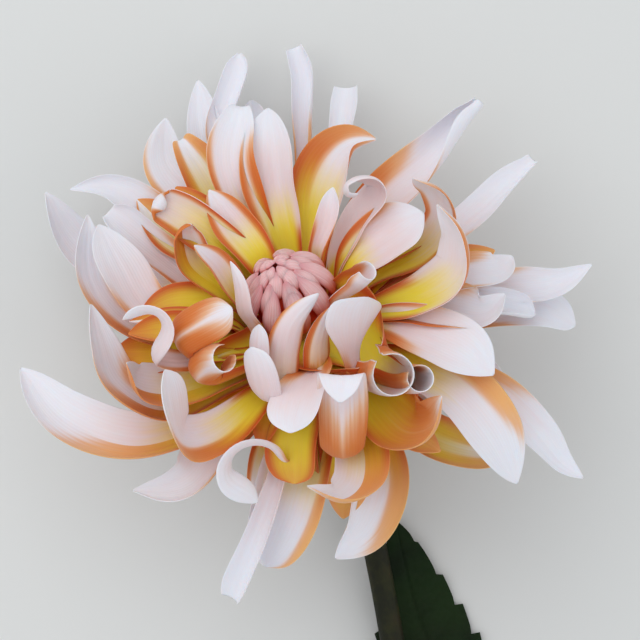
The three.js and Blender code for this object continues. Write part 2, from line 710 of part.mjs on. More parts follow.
// The closed middle: small florets in four whorls, folded over a core
function bud() {
  const base = RECEPTACLE_TOP + GAP;
  const core = turned(
    [[0, base], [6.4, base], [9.2, 12.6], [9.4, 16], [7.8, 20], [5.2, 23.6], [0, 26]],
    10,
  );
  const whorls = [
    { count: 9, turn: 0, width: 6.8, way: [[7.8, 11.2], [11.3, 14], [11.4, 18.5], [8.8, 22.8], [5.2, 25.8]] },
    { count: 7, turn: 25, width: 6.2, way: [[7, 16], [9.2, 19], [8, 23], [4.4, 26.8]] },
    { count: 6, turn: 10, width: 5.6, way: [[3.4, 20], [6, 23.4], [4.6, 26.4], [1.4, 28]] },
    { count: 4, turn: 35, width: 4.4, way: [[2, 23], [3.4, 25.6], [2.6, 27.8], [0.6, 28.8]] },
  ];
  const florets = whorls.flatMap(({ count, turn, width, way }) =>
    Array.from({ length: count }, (_, k) => {
      const azimuth = rad(turn + (360 * k) / count);
      const lean = rad(14);
      const points = way.map(([r, h], i) => onHead(azimuth + (lean * i) / (way.length - 1), r, h));
      const inward = onHead(azimuth, -1, 0);
      const floret = { width, cup: [25, 30, 25], widest: 0.5, tip: [2, 0.6], rows: 3, columns: 2 };
      return blade(floret, points, inward);
    }),
  );
  return fuse(core, florets);
}

// The green cup behind the florets, with its bracts bent back
function calyx() {
  const top = RECEPTACLE_BASE - GAP;
  const cup = turned(
    [
      [0, CALYX_BASE], [3.3, CALYX_BASE], [4.4, -19], [6.6, -16.5], [9.4, -12.5], [10.8, top],
      [0, top],
    ],
    20,
  );
  const bracts = Array.from({ length: BRACT_COUNT }, (_, k) => {
    const azimuth = rad(20 + (360 * k) / BRACT_COUNT);
    const way = [[5, -15.5], [9, -15.2], [14.5, -16.5], [19, -20], [21.5, -25]];
    const points = way.map(([r, h]) => onHead(azimuth, r, h));
    const bract = { width: 9, cup: [25, 30, 20], widest: 0.55, tip: [1.8, 0.9], base: 0.5 };
    return blade({ ...bract, rows: 5, columns: 2, thickness: 1 }, points, onHead(0, 0, 1));
  });
  return fuse(cup, bracts);
}

function tube(points, radius, sides, steps) {
  const circle = new THREE.Shape();
  circle.absarc(0, 0, radius, 0, 2 * Math.PI);
  const path = new THREE.CatmullRomCurve3(points.map((point) => new THREE.Vector3(...point)));
  return new THREE.ExtrudeGeometry(circle, { steps, curveSegments: sides, extrudePath: path });
}

// The stem leaves the calyx along the head's axis, bends and comes down to the surface
function stem() {
  const top = CALYX_BASE - GAP;
  const from = [top, top - 3.7].map((height) => onHead(0, 0, height).toArray());
  return mainShell(toSolid(tube([...from, ...STEM_WAY], STEM_RADIUS, 6, 22)));
}

// A leaf with a toothed edge, which lies under the stem with its tip towards the flower
function leaf() {
  const midrib = new THREE.CatmullRomCurve3(LEAF_MIDRIB.map((point) => new THREE.Vector3(...point)));
  const stalk = [0, 0.06, 0.12, 0.18];
  const teeth = Array.from({ length: LEAF_TEETH }, (_, k) => {
    const start = 0.24 + (0.7 * k) / LEAF_TEETH;
    return [start, start + 0.5 / LEAF_TEETH, start + 0.53 / LEAF_TEETH];
  }).flat();
  const grid = [...stalk, ...teeth, 0.94, 1].map((u, i) => {
    const place = midrib.getPointAt(u);
    const heading = midrib.getTangentAt(u);
    const side = new THREE.Vector3(heading.y, -heading.x, 0).normalize();
    const full = Math.sin(Math.PI * clamp((u - 0.12) / 0.88, 0, 1) ** 0.75) ** 0.8;
    const step = i - stalk.length;
    const tooth = step >= 0 && step < teeth.length ? [0.93, 1.04, 0.87][step % 3] : 1;
    const half = Math.max(u > 0.9 ? 0.3 : LEAF_PETIOLE, (LEAF_WIDTH / 2) * full * tooth);
    return [-1, -0.5, 0, 0.5, 1].map((v) => {
      const lift = LEAF_FOLD * (Math.abs(v) - 0.5) * full;
      return place.clone().addScaledVector(side, v * half).add(new THREE.Vector3(0, 0, lift));
    });
  });
  return mainShell(toSolid(sheet(grid, LEAF_THICKNESS)));
}

// The object

function piece(name, geometry, color, roughness) {
  const material = new THREE.MeshStandardMaterial({ color, roughness, metalness: 0 });
  const mesh = new THREE.Mesh(geometry, material);
  mesh.name = name;
  return mesh;
}

const head = new THREE.Group();
head.add(piece('bloom', bloom(), 0xf1dcd8, 0.55));
head.add(piece('bud', bud(), 0xdfa3a6, 0.55));
head.add(piece('calyx', calyx(), 0x4c6a35, 0.6));

const cutting = new THREE.Group();
cutting.add(piece('stem', stem(), 0x3a3b24, 0.5));
cutting.add(piece('leaf', leaf(), 0x1f3a1e, 0.45));

// The head frame is turned and set down as a whole
const flower = new THREE.Group();
flower.add(head, cutting);
flower.rotation.z = -rad(STEM_TURN);
flower.position.set(-ORIGIN[0], -ORIGIN[1], -ORIGIN[2]);

const dahlia = new THREE.Group();
dahlia.add(flower);

export default dahlia;
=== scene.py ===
"""A cut dahlia in white, pale pink, orange and yellow, laid down on its stem and its back florets.

The flower is drawn in millimetres in its head frame, where X is to the right, Y is up and Z comes
towards a person who looks into the flower from above. HeadFrame carries it into the part's own
frame, in metres.
"""

from __future__ import annotations

import logging
import math
from dataclasses import dataclass
from enum import Enum

import bpy
import numpy as np
from mathutils import Matrix, Vector


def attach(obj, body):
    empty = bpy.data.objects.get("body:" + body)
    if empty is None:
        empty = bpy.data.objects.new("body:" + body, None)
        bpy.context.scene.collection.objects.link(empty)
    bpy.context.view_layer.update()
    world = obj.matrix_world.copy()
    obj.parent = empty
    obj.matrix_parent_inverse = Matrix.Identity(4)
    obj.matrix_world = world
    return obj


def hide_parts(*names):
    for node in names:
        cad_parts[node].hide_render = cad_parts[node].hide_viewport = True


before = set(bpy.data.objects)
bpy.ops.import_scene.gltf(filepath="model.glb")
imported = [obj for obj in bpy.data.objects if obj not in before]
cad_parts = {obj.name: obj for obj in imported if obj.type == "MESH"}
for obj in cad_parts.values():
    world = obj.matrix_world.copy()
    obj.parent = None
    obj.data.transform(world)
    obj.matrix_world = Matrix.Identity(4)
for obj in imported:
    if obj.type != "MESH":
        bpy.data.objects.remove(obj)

Pair = tuple[float, float]
Triple = tuple[float, float, float]
Way = tuple[Triple, ...]
Socket = bpy.types.NodeSocket

MM = 0.001
GOLDEN_SHARE = 0.381966  # of a turn, which keeps neighbours apart
BODY = "root"
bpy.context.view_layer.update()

log = logging.getLogger("dahlia")


@dataclass(frozen=True)
class HeadFrame:
    """Where the flower's head lies in the part's frame, in degrees and millimetres."""

    tilt: float = 38.0
    lean: float = 26.0
    turn: float = 15.4
    origin: Triple = (0.24, -66.3, -39.33)

    @property
    def axis(self) -> np.ndarray:
        """The direction in which the bloom faces, in the head frame."""
        tilt, lean = math.radians(self.tilt), math.radians(self.lean)
        flat = math.sin(tilt)
        return np.array([-flat * math.sin(lean), flat * math.cos(lean), math.cos(tilt)])

    @property
    def across(self) -> np.ndarray:
        """The direction square to the axis that points most to the right."""
        side = np.array([1.0, 0.0, 0.0]) - self.axis[0] * self.axis
        return side / np.linalg.norm(side)

    @property
    def along(self) -> np.ndarray:
        """The third direction of the bloom's disc."""
        return np.cross(self.axis, self.across)

    def on_head(self, azimuth: float, radius: float, height: float) -> np.ndarray:
        """A point from its azimuth round the axis in degrees, its radius and its height on the axis."""
        angle = math.radians(azimuth)
        flat = self.across * math.cos(angle) + self.along * math.sin(angle)
        return flat * radius + self.axis * height

    def matrix(self) -> Matrix:
        """Carries points of the head frame, in millimetres, into the part's frame, in metres."""
        turn = Matrix.Rotation(-math.radians(self.turn), 4, "Z")
        return Matrix.Scale(MM, 4) @ Matrix.Translation(-Vector(self.origin)) @ turn

    def carried(self, points: np.ndarray) -> np.ndarray:
        """Points of the head frame, one a row, in millimetres, in the part's frame."""
        carry = np.array(self.matrix())
        return points @ carry[:3, :3].T + carry[:3, 3]

    def axis_matrix(self) -> Matrix:
        """Carries a body drawn round Z, in millimetres, onto the head's axis in the part's frame."""
        basis = Matrix(np.column_stack([self.across, self.along, self.axis]).tolist()).to_4x4()
        return self.matrix() @ basis


HEAD = HeadFrame()


class Whorl(Enum):
    """Where florets leave the receptacle: height on the axis and radius, in millimetres."""

    OUTERMOST = (-5.0, 12.0)
    OUTER = (-2.0, 13.0)
    MIDDLE = (1.0, 12.5)
    INNER = (4.0, 11.5)
    HIGH = (6.0, 10.6)
    HIGHEST = (7.5, 9.6)
    UNDER = (-7.0, 11.0)


@dataclass(frozen=True)
class Blade:
    """The form and marks of one floret or bract, in the head frame.

    way holds the points that its middle line passes. cup and twist are degrees at the root, middle
    and tip, twist without the root. roll is how far the left and right edges turn over towards the
    tip. curl is a last length that curls by an angle. widest is where the outline is widest, base
    its share of the width at the root, rise the power that widens it, tip the two powers that
    close it and end the least share of the width, left open at the tip. band is where the orange
    starts on the left and on the right, as a share of the half width, and reach is how far along
    it runs.
    """

    way: Way
    width: float
    whorl: Whorl = Whorl.OUTER
    cup: Triple = (30, 50, 40)
    twist: Pair = (0, 0)
    roll: Pair = (0, 0)
    curl: Pair = (0, 0)
    widest: float = 0.62
    base: float = 0.22
    tip: Pair = (2.2, 0.8)
    rise: float = 1.5
    end: float = 0.03
    band: Pair = (0.45, 0.45)
    reach: float = 0.62


# The open florets, by the part of the bloom that they stand in

FLORETS: dict[str, list[Blade]] = {
    "florets_far_outer": [
        Blade(((-1, 28, -13), (-0.6, 52, -25), (-0.8, 66, -29), (-3.2, 72.5, -30)), 10.5,
              cup=(60, 130, 100), widest=0.85, end=0.7, tip=(4, 0.5)),
        Blade(((-13, 28, -13), (-22.5, 50, -22), (-20, 59, -26), (-17.4, 66.5, -29), (-17.4, 71, -30)), 10,
              cup=(40, 90, 90), widest=0.85, end=0.1, tip=(4, 0.5)),
        Blade(((-17, 28, -14), (-24, 45, -23), (-28, 64, -28)), 12, Whorl.OUTERMOST, cup=(40, 60, 50),
              twist=(0, -10), widest=0.7, band=(0.45, 0.8)),
        Blade(((-7, 28, -14), (-12, 46, -26), (-14.5, 59, -31)), 10, Whorl.OUTERMOST, cup=(30, 60, 50),
              widest=0.75, tip=(3, 0.6)),
        Blade(((-18, 24, -11), (-28, 34, -17), (-36, 43, -22), (-36, 54, -21)), 16, cup=(40, 60, 40),
              roll=(-60, 0), band=(0.55, 0.8), reach=0.8),
        Blade(((4, 28, -13), (9, 48, -23), (10.3, 62, -28)), 9, Whorl.MIDDLE, cup=(40, 110, 60), widest=0.9,
              end=0.85, tip=(4, 0.5)),
        Blade(((-25, 12, -14), (-45, 15, -22), (-58.5, 21, -22), (-66.5, 35, -18)), 16.5, Whorl.OUTERMOST,
              cup=(30, 50, 50)),
        Blade(((-22, 16, -10), (-37, 27, -14), (-50, 35.5, -16), (-60, 35.5, -14)), 13, cup=(40, 50, 60),
              twist=(0, 20), roll=(0, 40), widest=0.68, tip=(1.8, 0.9)),
        Blade(((-20, 17, -6), (-33, 24, -10), (-43, 33, -14)), 15, cup=(30, 50, 50), band=(0.5, -0.3),
              reach=1.25),
        Blade(((-17, 23, -8), (-24, 36, -13), (-31, 47, -16)), 14, Whorl.MIDDLE, cup=(30, 50, 50),
              curl=(5, -120), band=(0.3, 0.15), reach=1.15),
        Blade(((-22, 7, -3), (-38, 19, -8), (-50.5, 29.5, -10)), 13, Whorl.MIDDLE, cup=(30, 50, 50),
              roll=(50, 50), widest=0.8, end=0.5, tip=(5, 0.5)),
        Blade(((10, 20, -5), (21, 33, -8), (32.3, 42.8, -11), (39.5, 51.6, -13), (44.3, 57, -14)), 17,
              Whorl.MIDDLE, cup=(30, 60, 160), twist=(0, -20), widest=0.5, end=0.5, tip=(5, 0.5),
              band=(0.2, 0.7), reach=0.6),
        Blade(((24, 15, 0), (40.5, 27, -6), (49.5, 35.5, -10), (57.5, 42.8, -12)), 10.5, Whorl.OUTERMOST,
              cup=(30, 40, 80), widest=0.6, end=0.5, tip=(4, 0.5), band=(0.8, 0.3), reach=0.5),
        Blade(((28, 5, 2), (48, 9, 0), (62, 11, -3), (71.5, 16.5, -4)), 13, Whorl.OUTERMOST,
              cup=(30, 60, 60), twist=(0, 20), widest=0.7, tip=(1.6, 0.9)),
        Blade(((28, 1, 0), (50, 5, -2), (60, 5, -4), (67.5, 1, -6)), 13, Whorl.OUTERMOST, cup=(30, 30, 20),
              widest=0.8, tip=(3, 0.6)),
        Blade(((24, 4, 8), (44, 6, 8), (57, 4, 4)), 11, cup=(30, 40, 60), roll=(60, 60), widest=0.8,
              tip=(5, 0.5)),
    ],
    "florets_far_inner": [
        Blade(((-12, 24, -4), (-19, 42, -5), (-17, 56, -12)), 14, Whorl.INNER, cup=(30, 55, 40),
              curl=(4, -150), band=(0.5, 0.35), reach=0.7),
        Blade(((-6, 25, -2), (-9, 36, -4), (-10, 47, -6), (-10, 56, -11)), 16, Whorl.HIGH, cup=(30, 55, 30),
              twist=(0, -10), band=(0.5, 0.8), reach=0.72),
        Blade(((2, 26, -4), (4.5, 38, -6), (10, 46, -9), (17.5, 48, -10)), 18, Whorl.INNER,
              cup=(30, 50, 90), roll=(0, 60), band=(0.1, 0.8), reach=0.95),
        Blade(((3, 20, 6), (5.5, 27, 8), (6.5, 35.5, 8)), 8, Whorl.HIGHEST, cup=(30, 90, 60), widest=0.7),
        Blade(((8, 18, 4), (13, 27, 6), (19, 35, 9), (16.2, 38, 10), (12, 38, 11), (9, 35.6, 11.5),
               (10.3, 33, 12), (12.8, 33.8, 12.5)), 12, Whorl.HIGH, cup=(30, 40, 20), twist=(-18, -28),
              widest=0.5, band=(0.8, 0.6), reach=0.3),
        Blade(((12, 17, 8), (20, 23, 11), (29, 29, 12)), 17, Whorl.HIGH, cup=(30, 40, 20), widest=0.68,
              tip=(2.8, 0.8), band=(0.5, 0.8), reach=0.75),
        Blade(((18, 14, 4), (30, 20, 6), (35, 28, 9), (32, 35, 12), (26, 37.5, 14)), 14, Whorl.INNER,
              cup=(30, 50, 30), tip=(4, 0.5), band=(0.6, 0.3), reach=0.9),
        Blade(((18, 5, 10), (30, 8, 14), (38, 14, 18), (38, 24, 20), (32, 31, 20)), 18, Whorl.INNER,
              cup=(30, 50, 60), band=(0.9, 0.6), reach=0.9),
        Blade(((-12, 18, 4), (-19, 27, 3), (-24.5, 35, 2)), 12, Whorl.HIGHEST, cup=(30, 50, 30),
              reach=0.95),
        Blade(((-16, 17, 2), (-28, 26, 3), (-37, 31, 4)), 14, Whorl.INNER, cup=(30, 60, 80), curl=(11, 320),
              band=(0.3, 0.6), reach=1),
        Blade(((-20, 9, 5), (-29, 16, 5), (-31, 23, 6)), 14, Whorl.INNER, cup=(30, 60, 60), curl=(7, 120),
              band=(-0.4, 0.6), reach=1.1),
        Blade(((-18.2, 9.2, 7.4), (-23.2, 16.6, 9.8), (-28, 21, 11)), 11, Whorl.HIGH, cup=(30, 50, 30),
              reach=0.95),
        Blade(((-24, 2, 2), (-39.73, 5.17, 5), (-46.97, 16.33, 3), (-52.2, 26.5, -1)), 15, cup=(30, 40, 20),
              widest=0.7, tip=(2.4, 0.8), band=(0.3, 0.6), reach=0.6),
        Blade(((-28, -4, 2), (-45, 1, 4), (-54, 12, 3), (-55, 29, -3)), 13, Whorl.OUTERMOST,
              band=(-0.1, 0.3), reach=0.68),
    ],
    "florets_left": [
        Blade(((-20, 1.6, 8), (-34, 3.1, 10), (-44, 2.1, 12)), 6.5, Whorl.INNER, cup=(30, 50, 30),
              band=(0.6, -0.4), reach=1.3),
        Blade(((-20, -14, 8), (-36, -20, 12), (-48, -13, 14), (-51.5, -3, 14), (-53.5, 6.5, 12)), 17,
              band=(-0.3, 0.15), reach=0.7),
        Blade(((-22, -22, 6), (-42, -29, 8), (-60, -23, 2), (-72, -9.5, -6)), 19, Whorl.OUTERMOST,
              cup=(30, 60, 50), band=(-0.3, 1.1), reach=0.68),
        Blade(((-20.3, -12, 12), (-33.3, -16, 16), (-42.3, -14, 20), (-44.3, -8, 23)), 19, Whorl.MIDDLE,
              cup=(30, 50, 30), widest=0.7, tip=(3, 0.6), band=(-0.3, 1.1), reach=1),
        Blade(((-19, -5, 13), (-31, -8, 18), (-38, -6.3, 22), (-36, -3.2, 27), (-34.4, 0, 29),
               (-35.6, 3.4, 30.5), (-39.5, 4.7, 31), (-45, 2.5, 29)), 7, Whorl.INNER, cup=(30, 40, 20),
              twist=(-30, 5), widest=0.7, base=0.6, tip=(3, 0.6), band=(0.3, 0.5), reach=0.5),
        Blade(((-18, -6.6, 14), (-29, -6.6, 19), (-32, -2.6, 26), (-26, 1.4, 31), (-18, 5.4, 33)), 11.5,
              Whorl.HIGH, cup=(30, 50, 30), widest=0.8, tip=(4, 0.5), band=(-0.2, -0.2), reach=0.92),
        Blade(((-16, -9, 15), (-24.77, -12.82, 19), (-27.05, -12.15, 25), (-24.32, -9.97, 30),
               (-21.6, -9.3, 34)), 20, Whorl.HIGH, cup=(30, 100, 150), widest=0.9, rise=2.5, end=0.9,
              band=(-0.2, -0.2), reach=0.95),
        Blade(((-12, -17, 16), (-22, -26, 22), (-30, -27.5, 26), (-33.5, -18, 33), (-34.5, -9.5, 36)), 17,
              Whorl.MIDDLE, cup=(20, 35, 30), twist=(-15, -42), widest=0.75, tip=(3, 0.5), band=(0, 1.1),
              reach=0.75),
        Blade(((-5, -15, 18), (-9.5, -17.5, 26), (-11.5, -11, 32), (-13.3, -4, 35)), 9.5, Whorl.HIGH,
              cup=(30, 50, 30), widest=0.78, tip=(3, 0.5), band=(0.2, 0.3), reach=0.5),
        Blade(((-8, -10, 18), (-12, -12, 25), (-12, -5, 29), (-11.5, 1.5, 31)), 6, Whorl.HIGHEST,
              cup=(30, 50, 30), widest=0.75, tip=(3, 0.6)),
        Blade(((-11.9, -2.8, 13.6), (-13.6, 0.3, 18.4), (-16.2, 4.1, 21.2), (-17, 11, 22.6),
               (-18.8, 17, 21.5)), 8, Whorl.HIGH, widest=0.6, tip=(2, 0.8), reach=0.45),
    ],
    "florets_middle": [
        Blade(((2.5, -8.5, 19), (0, -13, 28), (-2.5, -19, 33), (-4, -25, 35)), 16, Whorl.HIGHEST,
              cup=(30, 30, 20), widest=0.75, rise=2.5, base=0.3, tip=(3.5, 0.6), band=(0.2, 0.2),
              reach=0.55),
        Blade(((-5.5, -13.5, 20), (-5.5, -5.5, 27), (-3.5, 1.5, 31), (3, 9, 32)), 10, Whorl.HIGHEST,
              cup=(30, 50, 50), roll=(60, 30), widest=0.6, band=(0.75, 0.75), reach=0.85),
        Blade(((3, -10, 19), (3.5, -3, 25), (5.5, 5.5, 26)), 9, Whorl.HIGHEST, band=(0.6, 0.6), reach=1.2),
        Blade(((12.5, -13.5, 19), (11.7, -5, 26), (13.2, 3, 30), (14.6, 8.2, 31)), 25, Whorl.HIGH,
              cup=(30, 40, 20), widest=0.9, rise=25, base=0.24, tip=(3, 0.5), band=(0.3, 0.3), reach=0.6),
        Blade(((10.6, 9, 17), (14.3, 11.35, 21), (17.1, 13.7, 25)), 15, Whorl.HIGHEST, cup=(30, 120, 150),
              widest=0.9, rise=2.5, end=0.9, band=(0.2, 0.9), reach=0.9),
    ],
    "florets_right": [
        Blade(((24, 9, 6), (40, 14, 8), (48, 15, 8), (51, 18.5, 8)), 12, Whorl.MIDDLE, cup=(30, 40, 30),
              tip=(4, 0.5), band=(0.2, 0.6), reach=0.75),
        Blade(((20, 5, 10), (34, 5, 13), (44, 4, 14), (49, 9, 14)), 16, Whorl.MIDDLE, cup=(30, 50, 50),
              band=(0.3, 0.2), reach=0.68),
        Blade(((20, 2, 13), (30, -1, 18), (39, -5, 21), (46, -11, 21)), 16, Whorl.INNER, cup=(30, 30, 15),
              widest=0.68, tip=(2.4, 0.9), band=(0.6, 0.3), reach=0.5),
        Blade(((26, -8, 6), (46, -16, 10), (57, -26, 8), (63, -33, 4), (69, -37, 2)), 13, Whorl.OUTERMOST,
              cup=(30, 50, 60), band=(0.2, 0.8), reach=0.55),
        Blade(((20, -16, 4), (30.5, -26.5, 6), (42.5, -30.5, 4), (50.5, -30.5, 0)), 14, Whorl.OUTERMOST,
              cup=(30, 60, 50), band=(0.05, 0.1), reach=1.2),
        Blade(((22, -8, 12), (36, -14, 18), (46, -25, 18), (52, -38, 13)), 17, cup=(30, 40, 20),
              band=(0.2, 0.9), reach=0.74),
        Blade(((14, -13, 12), (19, -20, 17), (25, -25, 22), (31, -23, 27), (33, -16, 31)), 22, Whorl.INNER,
              cup=(30, 70, 60), twist=(0, 25), widest=0.6, tip=(2.4, 0.7), band=(-0.4, -0.3), reach=0.95),
        Blade(((17.5, -11.8, 15), (21.6, -14.4, 22), (23.6, -14.9, 30), (24.4, -14.9, 35)), 33,
              Whorl.HIGHEST, cup=(30, 150, 170), widest=0.9, rise=8, end=0.95, band=(0.55, 0.55),
              reach=0.92),
        Blade(((19, -11, 13), (26.07, -14.23, 20), (29.13, -14.47, 28), (30.2, -14, 33)), 21, Whorl.HIGH,
              cup=(30, 150, 168), widest=0.9, rise=3, end=0.95, band=(0.3, 0.3), reach=0.95),
        Blade(((9, -14, 14), (9.3, -25, 18), (9, -31.5, 24), (8.8, -28, 30), (8.7, -20, 33.5),
               (8.5, -12.8, 36), (8.4, -10.3, 38.3), (8.3, -12.5, 40.4), (8.1, -17.6, 40.8)), 13.5,
              Whorl.HIGH, cup=(30, 60, 12), widest=0.6, tip=(4, 0.5), band=(-0.4, -0.4), reach=0.72),
    ],
    "florets_near": [
        Blade(((-1, -18, 12), (-3, -28, 17), (-3, -38, 16)), 15, Whorl.MIDDLE, widest=0.7, tip=(3, 0.5),
              band=(-0.4, -0.4), reach=1.5),
        Blade(((-6, -17, 12), (-10, -24, 16), (-11, -29, 17)), 9, Whorl.MIDDLE, band=(-0.4, -0.4),
              reach=1.2),
        Blade(((2, -20, 4), (-1, -32, 8), (-5, -46, 8), (-10.5, -59, 4)), 21, Whorl.OUTERMOST,
              cup=(30, 45, 40), roll=(0, 60), widest=0.6, tip=(3, 0.6), band=(0.45, 1.1), reach=0.9),
        Blade(((-5, -32.5, 16), (-8.5, -29, 22), (-12.5, -28, 25), (-17, -29.5, 27), (-19.5, -33, 27),
               (-19.2, -36.5, 26), (-16.5, -38.5, 24), (-14, -40, 22), (-12, -42.5, 20)), 8, Whorl.MIDDLE,
              cup=(30, 40, 20), twist=(0, 52), widest=0.78, rise=6, base=0.1, tip=(3, 0.6), band=(0.3, 0.3),
              reach=0.45),
        Blade(((-14, -22, 6), (-23, -31, 9), (-28, -37.5, 10), (-34, -40, 8), (-43.5, -40, 4)), 16,
              cup=(30, 60, 60), roll=(60, 0), widest=0.55, tip=(1.8, 0.9), band=(0.3, 1), reach=0.6),
        Blade(((9, -20, 12), (14, -29, 18), (13.5, -38, 23), (8, -41.5, 28), (0, -38, 30)), 16,
              Whorl.MIDDLE, cup=(30, 50, 50), band=(-0.3, 1), reach=0.9),
        Blade(((13, -22, 4), (18.5, -36, 7), (15, -48.5, 6), (7, -57, 4)), 16, Whorl.OUTERMOST,
              roll=(0, 80), band=(0.1, 0.8), reach=0.8),
        Blade(((-4, -20, 5), (-7, -38, 11), (-12.5, -53, 9), (-18.5, -67, 4)), 10, cup=(40, 80, 80),
              widest=0.9, end=0.7, tip=(4, 0.5), band=(1.1, 0.8), reach=0.5),
    ],
    "florets_deep": [
        Blade(((-3, -20, 6), (-2, -32, 8), (1, -42, 7)), 14, band=(-0.4, -0.4), reach=1.3),
        Blade(((6, -20, 7), (10, -34, 9), (9, -47, 6)), 14, band=(-0.4, -0.4), reach=1.3),
        Blade(((-19, 4, 4), (-32, 6, 6), (-42, 3, 6)), 13, Whorl.MIDDLE, band=(-0.4, -0.4), reach=1.3),
        Blade(((-20, -3, 8), (-32, -1, 14), (-44, -1, 18)), 14, Whorl.MIDDLE, band=(-0.4, -0.4), reach=1.3),
        Blade(((16, 17, 0), (28, 24, 0), (36, 27, -2)), 13, Whorl.MIDDLE, band=(-0.4, -0.4), reach=1.3),
        Blade(((25, 10, 3), (40, 17, 2), (47, 20, 0)), 13, band=(-0.4, -0.4), reach=1.3),
        Blade(((-15, 18, 0), (-26, 28, -2), (-33, 36, -6)), 12, Whorl.INNER, band=(-0.4, -0.4), reach=1.3),
        Blade(((14, -14, 12), (24, -24, 15), (33, -30, 15)), 12, Whorl.INNER, band=(-0.4, -0.4), reach=1.3),
        Blade(((-20, -3.4, 6), (-35, -6, 7), (-48.5, -5.8, 5.5)), 16, Whorl.MIDDLE, cup=(30, 30, 15),
              widest=0.7, tip=(2.4, 0.8), band=(-0.4, -0.4), reach=1.3),
        Blade(((-6, -20, 3), (-11, -36, 4), (-13.6, -44, 3)), 10, tip=(2, 0.8), band=(-0.2, 0.5),
              reach=1.1),
    ],
}


# Geometry of a blade


def smooth_step(value: np.ndarray | float, low: float, high: float) -> np.ndarray:
    """0 up to low, 1 from high on and smooth between, also where high is the lower one."""
    share = np.clip((np.asarray(value, float) - low) / (high - low), 0.0, 1.0)
    return share * share * (3.0 - 2.0 * share)


def ease(u: np.ndarray, first: float, middle: float, last: float) -> np.ndarray:
    """A value along a blade, level at its root, middle and tip."""
    early = first + (middle - first) * smooth_step(u, 0.0, 0.5)
    late = middle + (last - middle) * smooth_step(u, 0.5, 1.0)
    return np.where(u < 0.5, early, late)


def through_points(points: np.ndarray, count: int) -> tuple[np.ndarray, float]:
    """A centripetal curve through points, cut evenly by length.

    Args:
        points: The points, one a row.
        count: How many places to return.

    Returns:
        The places and the curve's length.
    """
    padded = np.vstack([2 * points[0] - points[1], points, 2 * points[-1] - points[-2]])
    stretches = []
    for before, start, end, after in zip(padded, padded[1:], padded[2:], padded[3:]):
        t0 = 0.0
        t1 = t0 + np.linalg.norm(start - before) ** 0.5
        t2 = t1 + np.linalg.norm(end - start) ** 0.5
        t3 = t2 + np.linalg.norm(after - end) ** 0.5
        t = np.linspace(t1, t2, 25)[:, None]
        a1 = (t1 - t) / (t1 - t0) * before + (t - t0) / (t1 - t0) * start
        a2 = (t2 - t) / (t2 - t1) * start + (t - t1) / (t2 - t1) * end
        a3 = (t3 - t) / (t3 - t2) * end + (t - t2) / (t3 - t2) * after
        b1 = (t2 - t) / (t2 - t0) * a1 + (t - t0) / (t2 - t0) * a2
        b2 = (t3 - t) / (t3 - t1) * a2 + (t - t1) / (t3 - t1) * a3
        stretches.append((t2 - t) / (t2 - t1) * b1 + (t - t1) / (t2 - t1) * b2)
    line = np.vstack([stretch[:-1] for stretch in stretches] + [stretches[-1][-1:]])
    run = np.concatenate([[0.0], np.cumsum(np.linalg.norm(np.diff(line, axis=0), axis=1))])
    places = np.linspace(0.0, run[-1], count)
    return np.stack([np.interp(places, run, line[:, k]) for k in range(3)], 1), float(run[-1])


def directions(line: np.ndarray) -> np.ndarray:
    """The unit direction of a line at each of its points."""
    ahead = np.gradient(line, axis=0)
    return ahead / np.linalg.norm(ahead, axis=1)[:, None]


